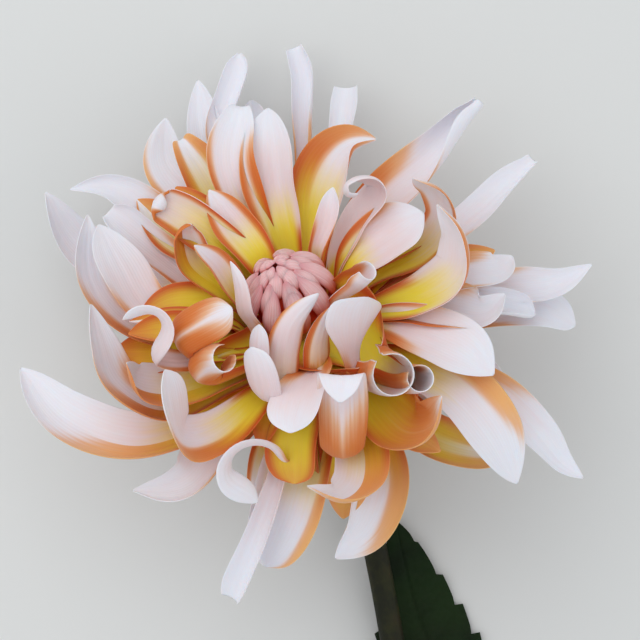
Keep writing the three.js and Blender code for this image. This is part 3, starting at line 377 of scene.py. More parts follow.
@dataclass(frozen=True)
class BladeSurface:
    """The curved middle sheet of one blade, worked out over a grid of rows and columns.

    start holds the points before the blade's own way, and inward points to its inner side at the
    root. number shifts its waves. groove and ripple are heights in millimetres.
    """

    blade: Blade
    start: tuple[np.ndarray, ...]
    inward: np.ndarray
    rows: int
    columns: int
    number: int = 0
    groove: float = 0.16
    ripple: float = 0.22

    FINE = 6  # samples of the middle line for each row
    SECTION = 40  # steps from the middle to an edge
    ROLL_FROM = 0.5  # share of the length from which an edge rolls over
    ROLL_START = 0.25  # share of the half width from which it does
    ROLL_POWER = 1.6
    GROOVES = 5.0  # half waves from the middle to an edge
    WAVE = 17.0  # of the edges, in radians from root to tip
    SWELL = 7.0  # of the whole sheet, in radians from root to tip
    SHIFT = 2.4  # of the waves from one blade to the next, in radians
    FADE_IN = (0.1, 0.4)  # where the relief starts and is full, as shares of the length
    FADE_OUT = (1.0, 0.85)  # where it ends and was last full

    def travel(self) -> tuple[np.ndarray, np.ndarray, np.ndarray]:
        """Follows the middle line and its last curl.

        Returns:
            Places, directions and the normals of the inner face, one for each row.
        """
        count = self.FINE * self.rows
        points = np.array([*self.start, *self.blade.way], float)
        line, drawn = through_points(points, count + 1)
        curl_length, curl_angle = self.blade.curl
        step = (drawn + curl_length) / count
        last = min(count, int(drawn / step))
        run = np.minimum(np.arange(count + 1) * step, drawn)
        even = np.linspace(0.0, drawn, count + 1)
        places = np.stack([np.interp(run, even, line[:, k]) for k in range(3)], 1)
        headings = directions(places[: last + 1])
        normal = self.inward - headings[0] * np.dot(self.inward, headings[0])
        normals = [normal / np.linalg.norm(normal)]
        for heading in headings[1:]:
            carried = normals[-1] - heading * np.dot(normals[-1], heading)
            normals.append(carried / np.linalg.norm(carried))
        places = list(places[: last + 1])
        headings = list(headings)
        bend = math.radians(curl_angle) * step / max(curl_length, 1e-6)
        for _ in range(last, count):
            heading, normal = headings[-1], normals[-1]
            following = heading * math.cos(bend) + normal * math.sin(bend)
            normals.append(normal * math.cos(bend) - heading * math.sin(bend))
            places.append(places[-1] + step * (heading + following) / 2)
            headings.append(following)
        chosen = slice(None, None, self.FINE)
        return np.array(places)[chosen], np.array(headings)[chosen], np.array(normals)[chosen]

    def outline(self, u: np.ndarray) -> np.ndarray:
        """The blade's width at u as a share of its full width."""
        blade = self.blade
        rising = np.sin(np.pi / 2 * np.minimum(u / blade.widest, 1.0)) ** blade.rise
        late = np.clip((u - blade.widest) / (1 - blade.widest), 0.0, 1.0)
        closing = (1 - late ** blade.tip[0]) ** blade.tip[1]
        share = np.where(u < blade.widest, blade.base + (1 - blade.base) * rising, closing)
        return np.maximum(share, blade.end)

    def section(self, u: np.ndarray, rolled: float) -> tuple[np.ndarray, np.ndarray]:
        """How far out and up each fine step from the middle to one edge lies, for every row."""
        half = (np.arange(self.SECTION) + 0.5) / self.SECTION
        fade = np.clip((u - self.ROLL_FROM) / (1 - self.ROLL_FROM), 0.0, 1.0)
        turned = np.clip((half - self.ROLL_START) / (1 - self.ROLL_START), 0.0, 1.0) ** self.ROLL_POWER
        angle = np.radians(ease(u, *self.blade.cup))[:, None] * half
        angle = angle + math.radians(rolled) * fade[:, None] * turned
        step = (self.outline(u) * self.blade.width / 2 / self.SECTION)[:, None]
        none = np.zeros((len(u), 1))
        out = np.concatenate([none, np.cumsum(np.cos(angle) * step, 1)], 1)
        up = np.concatenate([none, np.cumsum(np.sin(angle) * step, 1)], 1)
        return out, up

    def relief(self, u: np.ndarray, v: np.ndarray) -> np.ndarray:
        """Lengthwise grooves and the gentle wave of the edges, in millimetres off the sheet."""
        phase = self.number * self.SHIFT
        grooves = -self.groove * np.cos(v * np.pi * self.GROOVES) * (1 - np.abs(v)) ** 0.5
        length = smooth_step(u, *self.FADE_IN) * smooth_step(u, *self.FADE_OUT)
        wave = np.sin(u * self.WAVE + phase + v * 1.5) * np.abs(v) ** 3
        slow = 0.5 * np.sin(u * self.SWELL - phase + v * 2.0)
        return length * (grooves + self.ripple * (wave + slow))

    def grid(self) -> np.ndarray:
        """The sheet's points, rows + 1 by columns + 1 by 3, in millimetres in the head frame."""
        u = np.linspace(0.0, 1.0, self.rows + 1)
        v = np.linspace(-1.0, 1.0, self.columns + 1)
        places, headings, normals = self.travel()
        turn = np.radians(ease(u, 0.0, *self.blade.twist))[:, None]
        side = np.cross(headings, normals)
        face = normals * np.cos(turn) + side * np.sin(turn)
        edge = side * np.cos(turn) - normals * np.sin(turn)
        points = np.zeros((len(u), len(v), 3))
        steps = np.abs(v) * self.SECTION
        low = np.minimum(steps.astype(int), self.SECTION - 1)
        for rolled, chosen in ((self.blade.roll[0], v < 0), (self.blade.roll[1], v >= 0)):
            out, up = self.section(u, rolled)
            share = (steps - low)[chosen]
            first, second = low[chosen], low[chosen] + 1
            far = (out[:, first] * (1 - share) + out[:, second] * share) * np.sign(v[chosen])
            high = up[:, first] * (1 - share) + up[:, second] * share
            points[:, chosen] = (
                places[:, None] + edge[:, None] * far[..., None] + face[:, None] * high[..., None]
            )
        lengthwise = np.gradient(points, axis=0)
        crosswise = np.gradient(points, axis=1)
        inner = np.cross(crosswise, lengthwise)
        inner /= np.maximum(np.linalg.norm(inner, axis=2), 1e-9)[..., None]
        return points + inner * self.relief(*np.meshgrid(u, v, indexing="ij"))[..., None]


# Modelling helpers


def deselect() -> None:
    """Leaves nothing selected."""
    bpy.ops.object.select_all(action="DESELECT")


def make_active(piece: bpy.types.Object) -> None:
    """Selects one piece alone and makes it the active one."""
    deselect()
    piece.select_set(True)
    bpy.context.view_layer.objects.active = piece


def joined(name: str, pieces: list[bpy.types.Object]) -> bpy.types.Object:
    """Joins pieces into the first one and names it."""
    deselect()
    for piece in pieces:
        piece.select_set(True)
    bpy.context.view_layer.objects.active = pieces[0]
    bpy.ops.object.join()
    pieces[0].name = name
    pieces[0].data.name = name
    return pieces[0]


def apply_modifiers(piece: bpy.types.Object) -> None:
    """Applies every modifier of a piece, in order, and shades it smooth."""
    make_active(piece)
    for modifier in list(piece.modifiers):
        bpy.ops.object.modifier_apply(modifier=modifier.name)
    bpy.ops.object.shade_smooth()


def thicken(piece: bpy.types.Object, thickness: float, levels: int = 1) -> None:
    """Gives sheets their thickness and rounds them.

    Args:
        piece: Sheets whose faces point to their inner side.
        thickness: In millimetres.
        levels: Levels of subdivision.
    """
    solid = piece.modifiers.new("thickness", "SOLIDIFY")
    solid.thickness = thickness * MM
    solid.offset = 0.0
    solid.vertex_group = BladeBlank.GROUP
    solid.thickness_vertex_group = BladeBlank.LEAST
    solid.material_offset = 1
    solid.material_offset_rim = 2
    round_off(piece, levels)


def round_off(piece: bpy.types.Object, levels: int) -> None:
    """Subdivides a piece smoothly and applies its modifiers."""
    if levels:
        smooth = piece.modifiers.new("round", "SUBSURF")
        smooth.levels = levels
        smooth.render_levels = levels
    apply_modifiers(piece)


def dress(piece: bpy.types.Object, slot: str, node: str, *materials: bpy.types.Material) -> None:
    """Gives a finished piece its materials, its body and the node it stands for."""
    for index, material in enumerate(materials):
        if index < len(piece.data.materials):
            piece.data.materials[index] = material
        else:
            piece.data.materials.append(material)
    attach(piece, BODY)
    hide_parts(node)
    piece.data.calc_loop_triangles()
    log.info("%s: %d triangles", piece.name, len(piece.data.loop_triangles))


def dress_sheets(
    name: str,
    sheets: list[bpy.types.Object],
    thickness: float,
    node: str,
    materials: list[bpy.types.Material],
) -> None:
    """Joins bent sheets into a piece, thickens it and dresses it.

    Args:
        name: Name of the piece.
        sheets: The sheets, in the part's frame.
        thickness: In millimetres.
        node: The node that the piece stands for.
        materials: For the inner face, the outer face and the rim.
    """
    piece = joined(name, sheets)
    for material in materials:
        piece.data.materials.append(material)
    thicken(piece, thickness)
    dress(piece, node, node)


class BladeBlank:
    """A flat blade with a UV map and a thickness group, copied and bent for each floret."""

    GROUP = "thickness"
    MARKS = "marks"
    EDGE_LOSS = 0.55  # share of the thickness that goes at the edges
    TIP_LOSS = 0.35  # share of it that goes at the tip
    LEAST = 0.3  # share of it that is left everywhere

    def __init__(self, name: str, rows: int, columns: int) -> None:
        """Adds the flat grid.

        Args:
            name: Name of the blank.
            rows: Steps along the blade.
            columns: Steps across it.
        """
        self.rows, self.columns = rows, columns
        deselect()
        bpy.ops.mesh.primitive_grid_add(x_subdivisions=columns, y_subdivisions=rows, size=2)
        self.object = bpy.context.active_object
        self.object.name = name
        flat = np.zeros(3 * len(self.object.data.vertices))
        self.object.data.vertices.foreach_get("co", flat)
        flat = flat.reshape(-1, 3)
        self.column = np.rint((flat[:, 0] + 1) / 2 * columns).astype(int)
        self.row = np.rint((flat[:, 1] + 1) / 2 * rows).astype(int)
        group = self.object.vertex_groups.new(name=self.GROUP)
        for index, (x, y, _) in enumerate(flat):
            edge = 1 - self.EDGE_LOSS * abs(x) ** 3
            group.add([index], edge * (1 - self.TIP_LOSS * (y + 1) / 2), "REPLACE")

    def bent(self, surface: BladeSurface, marks: tuple[float, ...]) -> bpy.types.Object:
        """A copy of the blank bent to a surface.

        Args:
            surface: The surface, with this blank's rows and columns.
            marks: Four values that the materials read: the band's start on the left and on the
                right, its reach, and the blade's own tint.

        Returns:
            The new sheet, in the part's frame.
        """
        return self.placed(surface.grid(), marks)

    def placed(self, grid: np.ndarray, marks: tuple[float, ...]) -> bpy.types.Object:
        """A copy of the blank with its points at a grid of the head frame, in the part's frame."""
        sheet = self.object.copy()
        sheet.data = self.object.data.copy()
        bpy.context.scene.collection.objects.link(sheet)
        points = grid[self.row, self.column]
        sheet.data.vertices.foreach_set("co", HEAD.carried(points).ravel())
        attribute = sheet.data.attributes.new(self.MARKS, "FLOAT_COLOR", "POINT")
        attribute.data.foreach_set("color", np.tile(marks, len(points)))
        sheet.data.update()
        return sheet

    def remove(self) -> None:
        """Takes the flat blank out of the scene once its copies are made."""
        bpy.data.objects.remove(self.object)


# Materials


class Graph:
    """Adds nodes to a node tree and joins them."""

    def __init__(self, tree: bpy.types.NodeTree) -> None:
        """Keeps the tree."""
        self.tree = tree

    def node(self, kind: str, **settings: object) -> bpy.types.Node:
        """A new node of a kind with its settings."""
        made = self.tree.nodes.new(kind)
        for name, value in settings.items():
            setattr(made, name, value)
        return made

    def feed(self, target: Socket, value: Socket | float | tuple[float, ...]) -> None:
        """Joins a socket to an input or sets a plain value on it."""
        if isinstance(value, bpy.types.NodeSocket):
            self.tree.links.new(value, target)
        else:
            target.default_value = value

    def math(self, operation: str, *values: Socket | float, clamp: bool = False) -> Socket:
        """The result of one sum."""
        made = self.node("ShaderNodeMath", operation=operation, use_clamp=clamp)
        for target, value in zip(made.inputs, values):
            self.feed(target, value)
        return made.outputs[0]

    def step(self, value: Socket, low: Socket | float, high: Socket | float) -> Socket:
        """0 up to low, 1 from high on, smooth between. Low may be the higher one."""
        made = self.node("ShaderNodeMapRange", interpolation_type="SMOOTHSTEP")
        self.feed(made.inputs["Value"], value)
        self.feed(made.inputs["From Min"], low)
        self.feed(made.inputs["From Max"], high)
        return made.outputs["Result"]

    def blend(self, share: Socket | float, first: Socket | tuple, second: Socket | tuple) -> Socket:
        """The first colour passing into the second one."""
        made = self.node("ShaderNodeMix", data_type="RGBA")
        self.feed(made.inputs[0], share)
        self.feed(made.inputs[6], first)
        self.feed(made.inputs[7], second)
        return made.outputs[2]

    def noise(self, place: Socket, scale: float, detail: float = 2.0) -> Socket:
        """Soft random values round a place."""
        made = self.node("ShaderNodeTexNoise")
        self.feed(made.inputs["Vector"], place)
        made.inputs["Scale"].default_value = scale
        made.inputs["Detail"].default_value = detail
        return made.outputs["Fac"]

    def gap(self, point: Triple) -> Socket:
        """How far the surface lies from a point of the head frame, in millimetres."""
        made = self.node("ShaderNodeVectorMath", operation="DISTANCE")
        self.feed(made.inputs[0], self.node("ShaderNodeTexCoord").outputs["Object"])
        self.feed(made.inputs[1], tuple(HEAD.matrix() @ Vector(point)))
        return self.math("DIVIDE", made.outputs["Value"], MM)

    def vector(self, x: Socket | float, y: Socket | float, z: Socket | float) -> Socket:
        """A vector from its three parts."""
        made = self.node("ShaderNodeCombineXYZ")
        for target, value in zip(made.inputs, (x, y, z)):
            self.feed(target, value)
        return made.outputs[0]

    def across_and_along(self) -> tuple[Socket, Socket]:
        """Where a point lies on its blade: -1 to 1 from edge to edge, and 0 to 1 from root to tip."""
        parts = self.node("ShaderNodeSeparateXYZ")
        self.feed(parts.inputs[0], self.node("ShaderNodeUVMap", uv_map="UVMap").outputs[0])
        return self.math("MULTIPLY_ADD", parts.outputs[0], 2.0, -1.0), parts.outputs[1]

    def bump(self, shader: bpy.types.Node, height: Socket, strength: float, depth: float) -> None:
        """Roughens a shader's surface by a height socket, to a depth in millimetres."""
        made = self.node("ShaderNodeBump")
        set_inputs(made, {"Strength": strength, "Distance": depth * MM})
        self.feed(made.inputs["Height"], height)
        self.feed(shader.inputs["Normal"], made.outputs[0])


def set_inputs(node: bpy.types.Node, values: dict[str, object]) -> None:
    """Sets plain values on a node's inputs, by their names."""
    for name, value in values.items():
        node.inputs[name].default_value = value


def linear(red: int, green: int, blue: int) -> tuple[float, float, float, float]:
    """A colour given as it shows on a screen, in the linear values that the nodes take."""
    shown = [value / 255 for value in (red, green, blue)]
    return (*(c / 12.92 if c <= 0.04045 else ((c + 0.055) / 1.055) ** 2.4 for c in shown), 1.0)


@dataclass(frozen=True)
class PetalPalette:
    """The colours that pass into each other along a floret."""

    white: tuple = linear(235, 235, 243)
    blush: tuple = linear(236, 207, 206)
    peach: tuple = linear(230, 182, 146)
    orange: tuple = linear(214, 122, 50)
    amber: tuple = linear(236, 176, 112)
    # painted shade: the deep red-orange of the florets where they shade each other near the middle
    shade_red: tuple = linear(200, 78, 20)
    yellow: tuple = linear(244, 220, 56)


class PetalMarks:
    """The node group with a floret's colours, its painted shade and its fine relief, shared by its faces.

    Its pairs say where a colour is absent and where it is full: ALONG as a share of the orange's
    reach or of the length, ACROSS as a share of the half width, GAP as a distance from the closed
    middle in millimetres, and IN as a share of the orange. STREAKS and GRAIN say how fine those
    patterns are across and along a floret.
    """

    NAME = "petal_marks"
    MIDDLE = (-5.0, 10.0, 16.0)  # the closed middle, in millimetres in the head frame
    STREAKS = (9.0, 1.6, 37.0)
    FRAY = 0.12
    BAND_FADE = 0.46
    REACH_SLANT = 0.12
    REACH_FADE = (0.14, 0.16)  # share of the length by which it goes on and fades before
    ROOT_ALONG = (0.56, 0.28)
    ROOT_SHARE = 0.9
    BLUSH_ALONG = (0.90, 0.30)
    BLUSH_SHARE = 0.8
    ROSY_GAP = (60.0, 25.0)
    ROSY_ALONG = (1.05, 0.7)
    ROSY_SHARE = 0.75
    CLOUD_SHARE = 0.4
    PEACH_IN = (0.0, 0.55)
    ORANGE_IN = (0.25, 1.0)
    AMBER_GAP = (38.0, 62.0)
    # painted shade: the deep red-orange goes near the roots, towards the edges, over the orange and near the
    # middle, where the florets shade each other
    SHADE_RED_ALONG = (1.0, 0.4)
    SHADE_RED_ACROSS = (-0.1, 0.6)
    SHADE_RED_IN = (0.2, 0.8)
    SHADE_RED_GAP = (62.0, 42.0)
    YELLOW_ALONG = (0.82, 0.40)
    YELLOW_ACROSS = (0.95, 0.45)
    NERVES = 58.0  # from the middle to an edge, in radians
    WAVER = 2.2
    NERVE_HEIGHT = 0.5
    GRAIN = (60.0, 160.0)
    GRAIN_HEIGHT = 0.35
    ROUGHNESS = (0.16, 0.5)  # share of the clouds, and the middle value
    # the third input is the share of the deep red of painted shade
    INPUTS = {"Band Share": 1.0, "Yellow": 1.0, "Shade Red": 0.0, "Fleck": 0.05}
    OUTPUTS = {"Color": "NodeSocketColor", "Height": "NodeSocketFloat", "Roughness": "NodeSocketFloat"}

    def __init__(self, palette: PetalPalette) -> None:
        """Builds the group once.

        Args:
            palette: The colours.
        """
        self.palette = palette
        self.tree = bpy.data.node_groups.new(self.NAME, "ShaderNodeTree")
        for name, value in self.INPUTS.items():
            entry = self.tree.interface.new_socket(name, in_out="INPUT", socket_type="NodeSocketFloat")
            entry.default_value = value
        for name, kind in self.OUTPUTS.items():
            self.tree.interface.new_socket(name, in_out="OUTPUT", socket_type=kind)
        self.graph = graph = Graph(self.tree)
        self.given = graph.node("NodeGroupInput").outputs
        result = graph.node("NodeGroupOutput").inputs
        self.across, self.length = graph.across_and_along()
        self.away = graph.math("ABSOLUTE", self.across)
        self.gap = graph.gap(self.MIDDLE)
        marks = graph.node("ShaderNodeAttribute", attribute_name=BladeBlank.MARKS)
        self.tint = marks.outputs["Alpha"]
        values = graph.node("ShaderNodeSeparateColor")
        graph.feed(values.inputs[0], marks.outputs["Color"])
        self.left, self.right, self.reach = values.outputs
        self.streaks, self.clouds = self.noises()
        self.drawn = graph.math("MULTIPLY_ADD", self.streaks, self.FRAY, self.length)
        self.near = graph.math("DIVIDE", self.drawn, self.reach)

        nerves = graph.math("MULTIPLY", self.across, self.NERVES)
        nerves = graph.math("SINE", graph.math("MULTIPLY_ADD", self.streaks, self.WAVER, nerves))
        graph.feed(result["Color"], self.flecked(self.coloured(self.ground()), nerves))
        parts = zip((self.across, self.length), self.GRAIN)
        grain_place = graph.vector(*(graph.math("MULTIPLY", part, size) for part, size in parts), self.tint)
        grain = graph.math("MULTIPLY", graph.noise(grain_place, 1.0), self.GRAIN_HEIGHT)
        graph.feed(result["Height"], graph.math("MULTIPLY_ADD", nerves, self.NERVE_HEIGHT, grain))
        graph.feed(result["Roughness"], graph.math("MULTIPLY_ADD", self.clouds, *self.ROUGHNESS))

    def noises(self) -> tuple[Socket, Socket]:
        """Lengthwise streaks and broad clouds, both round 0 and different on each floret."""
        graph = self.graph
        parts = zip((self.across, self.length, self.tint), self.STREAKS)
        streak_place = graph.vector(*(graph.math("MULTIPLY", part, size) for part, size in parts))
        streaks = graph.math("SUBTRACT", graph.noise(streak_place, 1.0, 3.0), 0.5)
        cloud_place = graph.vector(self.across, graph.math("MULTIPLY", self.length, 2.0), self.tint)
        return streaks, graph.math("SUBTRACT", graph.noise(cloud_place, 2.5, 1.0), 0.5)

    def all_of(self, *masks: Socket) -> Socket:
        """The product of masks."""
        product = masks[0]
        for mask in masks[1:]:
            product = self.graph.math("MULTIPLY", product, mask)
        return product

    def orange(self) -> Socket:
        """The share of orange: the margins up to their reach, and the root."""
        graph = self.graph
        is_right = graph.math("GREATER_THAN", self.across, 0.0)
        span = graph.math("SUBTRACT", self.right, self.left)
        start = graph.math("MULTIPLY_ADD", is_right, span, self.left)
        inner = graph.math("MULTIPLY", start, self.given["Band Share"])
        frayed = graph.math("MULTIPLY_ADD", self.streaks, self.FRAY, self.away)
        banded = graph.step(frayed, inner, graph.math("ADD", inner, self.BAND_FADE))
        outward = graph.math("SUBTRACT", self.away, 0.5)
        far = graph.math("MULTIPLY_ADD", outward, self.REACH_SLANT, self.reach)
        after, before = self.REACH_FADE
        ends = graph.math("ADD", far, after), graph.math("SUBTRACT", far, before)
        faded = graph.step(self.drawn, *ends)
        root = graph.math("MULTIPLY", graph.step(self.near, *self.ROOT_ALONG), self.ROOT_SHARE)
        return graph.math("MAXIMUM", graph.math("MULTIPLY", banded, faded), root)

    def ground(self) -> Socket:
        """White that blushes towards the root and near the closed middle."""
        graph = self.graph
        blush = graph.math("MULTIPLY", graph.step(self.drawn, *self.BLUSH_ALONG), self.BLUSH_SHARE)
        rosy = self.all_of(graph.step(self.gap, *self.ROSY_GAP), graph.step(self.drawn, *self.ROSY_ALONG))
        blush = graph.math("MAXIMUM", blush, graph.math("MULTIPLY", rosy, self.ROSY_SHARE))
        cloudy = graph.math("MULTIPLY", self.clouds, self.CLOUD_SHARE)
        blush = graph.math("ADD", blush, cloudy, clamp=True)
        return graph.blend(blush, self.palette.white, self.palette.blush)

    def coloured(self, ground: Socket) -> Socket:
        """The ground with its orange, with the deep red of painted shade towards the middle, and its yellow
        root.
        """
        graph, palette = self.graph, self.palette
        orange = self.orange()
        colour = graph.blend(graph.step(orange, *self.PEACH_IN), ground, palette.peach)
        warm = graph.blend(graph.step(self.gap, *self.AMBER_GAP), palette.orange, palette.amber)
        colour = graph.blend(graph.step(orange, *self.ORANGE_IN), colour, warm)
        # painted shade: deep red-orange where the florets shade each other near the middle
        shade_red = self.all_of(
            graph.step(self.near, *self.SHADE_RED_ALONG),
            graph.step(self.away, *self.SHADE_RED_ACROSS),
            graph.step(orange, *self.SHADE_RED_IN),
            graph.step(self.gap, *self.SHADE_RED_GAP),
            self.given["Shade Red"],
        )
        colour = graph.blend(shade_red, colour, palette.shade_red)
        yellow = self.all_of(
            graph.step(self.near, *self.YELLOW_ALONG),
            graph.step(self.away, *self.YELLOW_ACROSS),
            self.given["Yellow"],
        )
        return graph.blend(yellow, colour, palette.yellow)

    def flecked(self, colour: Socket, nerves: Socket) -> Socket:
        """A colour with its nerves drawn faintly in peach."""
        shade = self.graph.math("MULTIPLY_ADD", nerves, 0.5, 0.5)
        return self.graph.blend(self.all_of(shade, shade, self.given["Fleck"]), colour, self.palette.peach)


@dataclass(frozen=True)
class PetalFinish:
    """The finish of one side of a floret.

    band_share moves the start of its margins, and yellow, the deep red of painted shade, and fleck are
    shares of those colours. glow and depth, in millimetres, say how light passes through it.
    """

    name: str
    band_share: float
    yellow: float
    shade_red: float
    fleck: float
    sheen: float = 0.12
    glow: float = 0.35
    depth: float = 1.1

    def material(self, marks: PetalMarks) -> bpy.types.Material:
        """The material, which takes its colours from the shared marks."""
        made, graph, shader = shader_material(self.name)
        group = graph.node("ShaderNodeGroup", node_tree=marks.tree)
        shares = (self.band_share, self.yellow, self.shade_red, self.fleck)
        set_inputs(group, dict(zip(PetalMarks.INPUTS, shares)))
        graph.feed(shader.inputs["Base Color"], group.outputs["Color"])
        graph.feed(shader.inputs["Roughness"], group.outputs["Roughness"])
        graph.bump(shader, group.outputs["Height"], strength=0.14, depth=0.12)
        set_inputs(shader, {
            "Subsurface Weight": self.glow,
            "Subsurface Radius": (1.0, 0.62, 0.5),
            "Subsurface Scale": self.depth * MM,
            "Sheen Weight": self.sheen,
            "Sheen Roughness": 0.4,
            "Specular IOR Level": 0.35,
        })
        return made


def shader_material(name: str) -> tuple[bpy.types.Material, Graph, bpy.types.Node]:
    """A new material with its graph and its Principled shader.

    Args:
        name: Name of the material.

    Returns:
        The material, its graph and its shader node.
    """
    made = bpy.data.materials.new(name)
    made.use_nodes = True
    shader = made.node_tree.nodes["Principled BSDF"]
    return made, Graph(made.node_tree), shader


@dataclass(frozen=True)
class SkinFinish:
    """A matt plant skin with clouded colour and a fine grain.

    scale is the size of the clouds, as waves a metre, and tint_share how strong the third colour is.
    """

    name: str
    light: tuple
    dark: tuple
    tint: tuple
    roughness: float
    scale: float = 160.0
    tint_share: float = 0.35

    GRAIN = 9  # fine grain to a cloud
    TINT_SCALE = 0.4  # clouds of the third colour to a cloud

    def material(self) -> bpy.types.Material:
        """The material, patterned on Object coordinates."""
        made, graph, shader = shader_material(self.name)
        place = graph.node("ShaderNodeTexCoord").outputs["Object"]
        clouds = graph.noise(place, self.scale, 4.0)
        fine = graph.noise(place, self.scale * self.GRAIN, 2.0)
        colour = graph.blend(graph.step(clouds, 0.35, 0.65), self.dark, self.light)
        patches = graph.step(graph.noise(place, self.scale * self.TINT_SCALE), 0.45, 0.7)
        colour = graph.blend(graph.math("MULTIPLY", patches, self.tint_share), colour, self.tint)
        graph.feed(shader.inputs["Base Color"], colour)
        rough = graph.math("MULTIPLY_ADD", fine, 0.2, self.roughness - 0.1)
        graph.feed(shader.inputs["Roughness"], rough)
        graph.bump(shader, fine, strength=0.3, depth=0.15)
        set_inputs(shader, {
            "Specular IOR Level": 0.25,
            "Subsurface Weight": 0.08,
            "Subsurface Scale": 0.6 * MM,
        })
        return made


@dataclass(frozen=True)
class BudFinish:
    """The finish of the closed florets: pink, with deeper tips and edges and red low down.

    share is how strongly the tips and the edges take their own colours.
    """

    pale: tuple = linear(250, 206, 206)
    pink: tuple = linear(238, 178, 178)
    tips: tuple = linear(216, 138, 146)
    edges: tuple = linear(214, 108, 108)
    low: tuple = linear(206, 66, 40)
    share: float = 0.7

    NERVES = 30.0

    def material(self) -> bpy.types.Material:
        """The material, patterned on the florets' own UV map."""
        made, graph, shader = shader_material("closed_floret_pink")
        across, length = graph.across_and_along()
        away = graph.math("ABSOLUTE", across)
        tint = graph.node("ShaderNodeAttribute", attribute_name=BladeBlank.MARKS).outputs["Alpha"]
        place = graph.vector(graph.math("MULTIPLY", across, 9.0), length, graph.math("MULTIPLY", tint, 31.0))
        colour = graph.blend(graph.step(graph.noise(place, 1.4, 3.0), 0.3, 0.7), self.pale, self.pink)
        for part, start, end, deeper in ((length, 0.75, 1.0, self.tips), (away, 0.55, 1.0, self.edges)):
            share = graph.math("MULTIPLY", graph.step(part, start, end), self.share)
            colour = graph.blend(share, colour, deeper)
        colour = graph.blend(graph.step(length, 0.62, 0.26), colour, self.low)
        graph.feed(shader.inputs["Base Color"], colour)
        nerves = graph.math("SINE", graph.math("MULTIPLY", across, self.NERVES))
        graph.bump(shader, nerves, strength=0.25, depth=0.12)
        set_inputs(shader, {
            "Roughness": 0.5,
            "Subsurface Weight": 0.35,
            "Subsurface Radius": (1.0, 0.5, 0.45),
            "Subsurface Scale": 1.0 * MM,
        })
        return made


CALYX_GREEN = SkinFinish(
    "calyx_green",
    light=linear(104, 132, 58),
    dark=linear(62, 92, 36),
    tint=linear(128, 96, 56),
    roughness=0.55,
)
RECEPTACLE_OCHRE = SkinFinish(
    "receptacle_ochre",
    light=linear(196, 150, 44),
    dark=linear(176, 110, 34),
    tint=linear(190, 84, 30),
    roughness=0.6,
)
BUD_CORE_RED = SkinFinish(
    "bud_core_red",
    light=linear(232, 70, 34),
    dark=linear(212, 50, 28),
    tint=linear(190, 36, 26),
    roughness=0.6,
)
STEM_SKIN = SkinFinish(
    "stem_skin",
    light=linear(38, 40, 10),
    dark=linear(24, 26, 8),
    tint=linear(50, 32, 14),
    roughness=0.6,
    scale=260.0,
)
STEM_PITH = SkinFinish(
    "stem_pith",
    light=linear(196, 206, 150),
    dark=linear(166, 182, 118),
    tint=linear(180, 180, 130),
    roughness=0.7,
)
# The leaf's greens are darker than its own colour: painted shade of the bloom that hangs over it.
SHADED_LEAF_GREEN = SkinFinish(
    "leaf_green_painted_shade",
    light=linear(16, 38, 6),
    dark=linear(8, 25, 3),
    tint=linear(28, 46, 10),
    roughness=0.8,
    scale=90.0,
)


# The flower's pieces


def turned_body(name: str, profile: tuple[Pair, ...], sides: int) -> bpy.types.Object:
    """A closed body turned round the head's axis.

    A circle is added at the lowest height, then extruded and scaled from height to height.

    Args:
        name: Name of the piece.
        profile: Radius and height of each ring, in millimetres, from below.
        sides: Points on a ring.

    Returns:
        The body, in the part's frame.
    """
    deselect()
    radius, height = profile[0]
    bpy.ops.mesh.primitive_circle_add(
        vertices=sides, radius=radius, fill_type="NGON", location=(0, 0, height)
    )
    body = bpy.context.active_object
    body.name = name
    bpy.ops.object.transform_apply(location=True, rotation=True, scale=True)
    bpy.ops.object.mode_set(mode="EDIT")
    bpy.ops.mesh.select_all(action="SELECT")
    for next_radius, next_height in profile[1:]:
        rise = next_height - height
        bpy.ops.mesh.extrude_region_move(TRANSFORM_OT_translate={"value": (0, 0, rise)})
        share = next_radius / radius
        bpy.ops.transform.resize(value=(share, share, 1), center_override=(0, 0, next_height))
        radius, height = next_radius, next_height
    bpy.ops.mesh.select_all(action="SELECT")
    bpy.ops.mesh.normals_make_consistent(inside=False)
    bpy.ops.object.mode_set(mode="OBJECT")
    body.data.transform(HEAD.axis_matrix())
    return body


@dataclass(frozen=True)
class RayFlorets:
    """The open florets, each on its own way out of the receptacle."""

    rows: int = 30
    columns: int = 12
    thickness: float = 0.45
    root_sink: float = 2.5
    root_step: float = 1.0
    root_rise: float = 0.4

    def surface(self, blade: Blade, number: int) -> BladeSurface:
        """The surface of a floret that leaves the receptacle at its whorl."""
        height, radius = blade.whorl.value
        first = np.array(blade.way[0], float)
        radial = first - HEAD.axis * np.dot(first, HEAD.axis)
        radial /= np.linalg.norm(radial)
        root = radial * (radius - self.root_sink) + HEAD.axis * height
        start = radial * (radius + self.root_step) + HEAD.axis * (height + self.root_rise)
        heading = start - root
        inward = HEAD.axis * np.dot(heading, radial) - radial * np.dot(heading, HEAD.axis)
        return BladeSurface(blade, (root, start), inward, self.rows, self.columns, number)

    def build(self, name: str, blades: list[Blade], first: int, materials: list[bpy.types.Material]) -> None:
        """Builds and dresses one group of florets as a piece.

        Args:
            name: Name of the piece.
            blades: The florets' forms.
            first: The number of the first one, which sets its ripple and tint.
            materials: For the inner face, the outer face and the rim.
        """
        blank = BladeBlank("floret_blank", self.rows, self.columns)
        sheets = []
        for number, blade in enumerate(blades, first):
            tint = (number * GOLDEN_SHARE) % 1.0
            sheets.append(blank.bent(self.surface(blade, number), (*blade.band, blade.reach, tint)))
        blank.remove()
        dress_sheets(name, sheets, self.thickness, "bloom", materials)


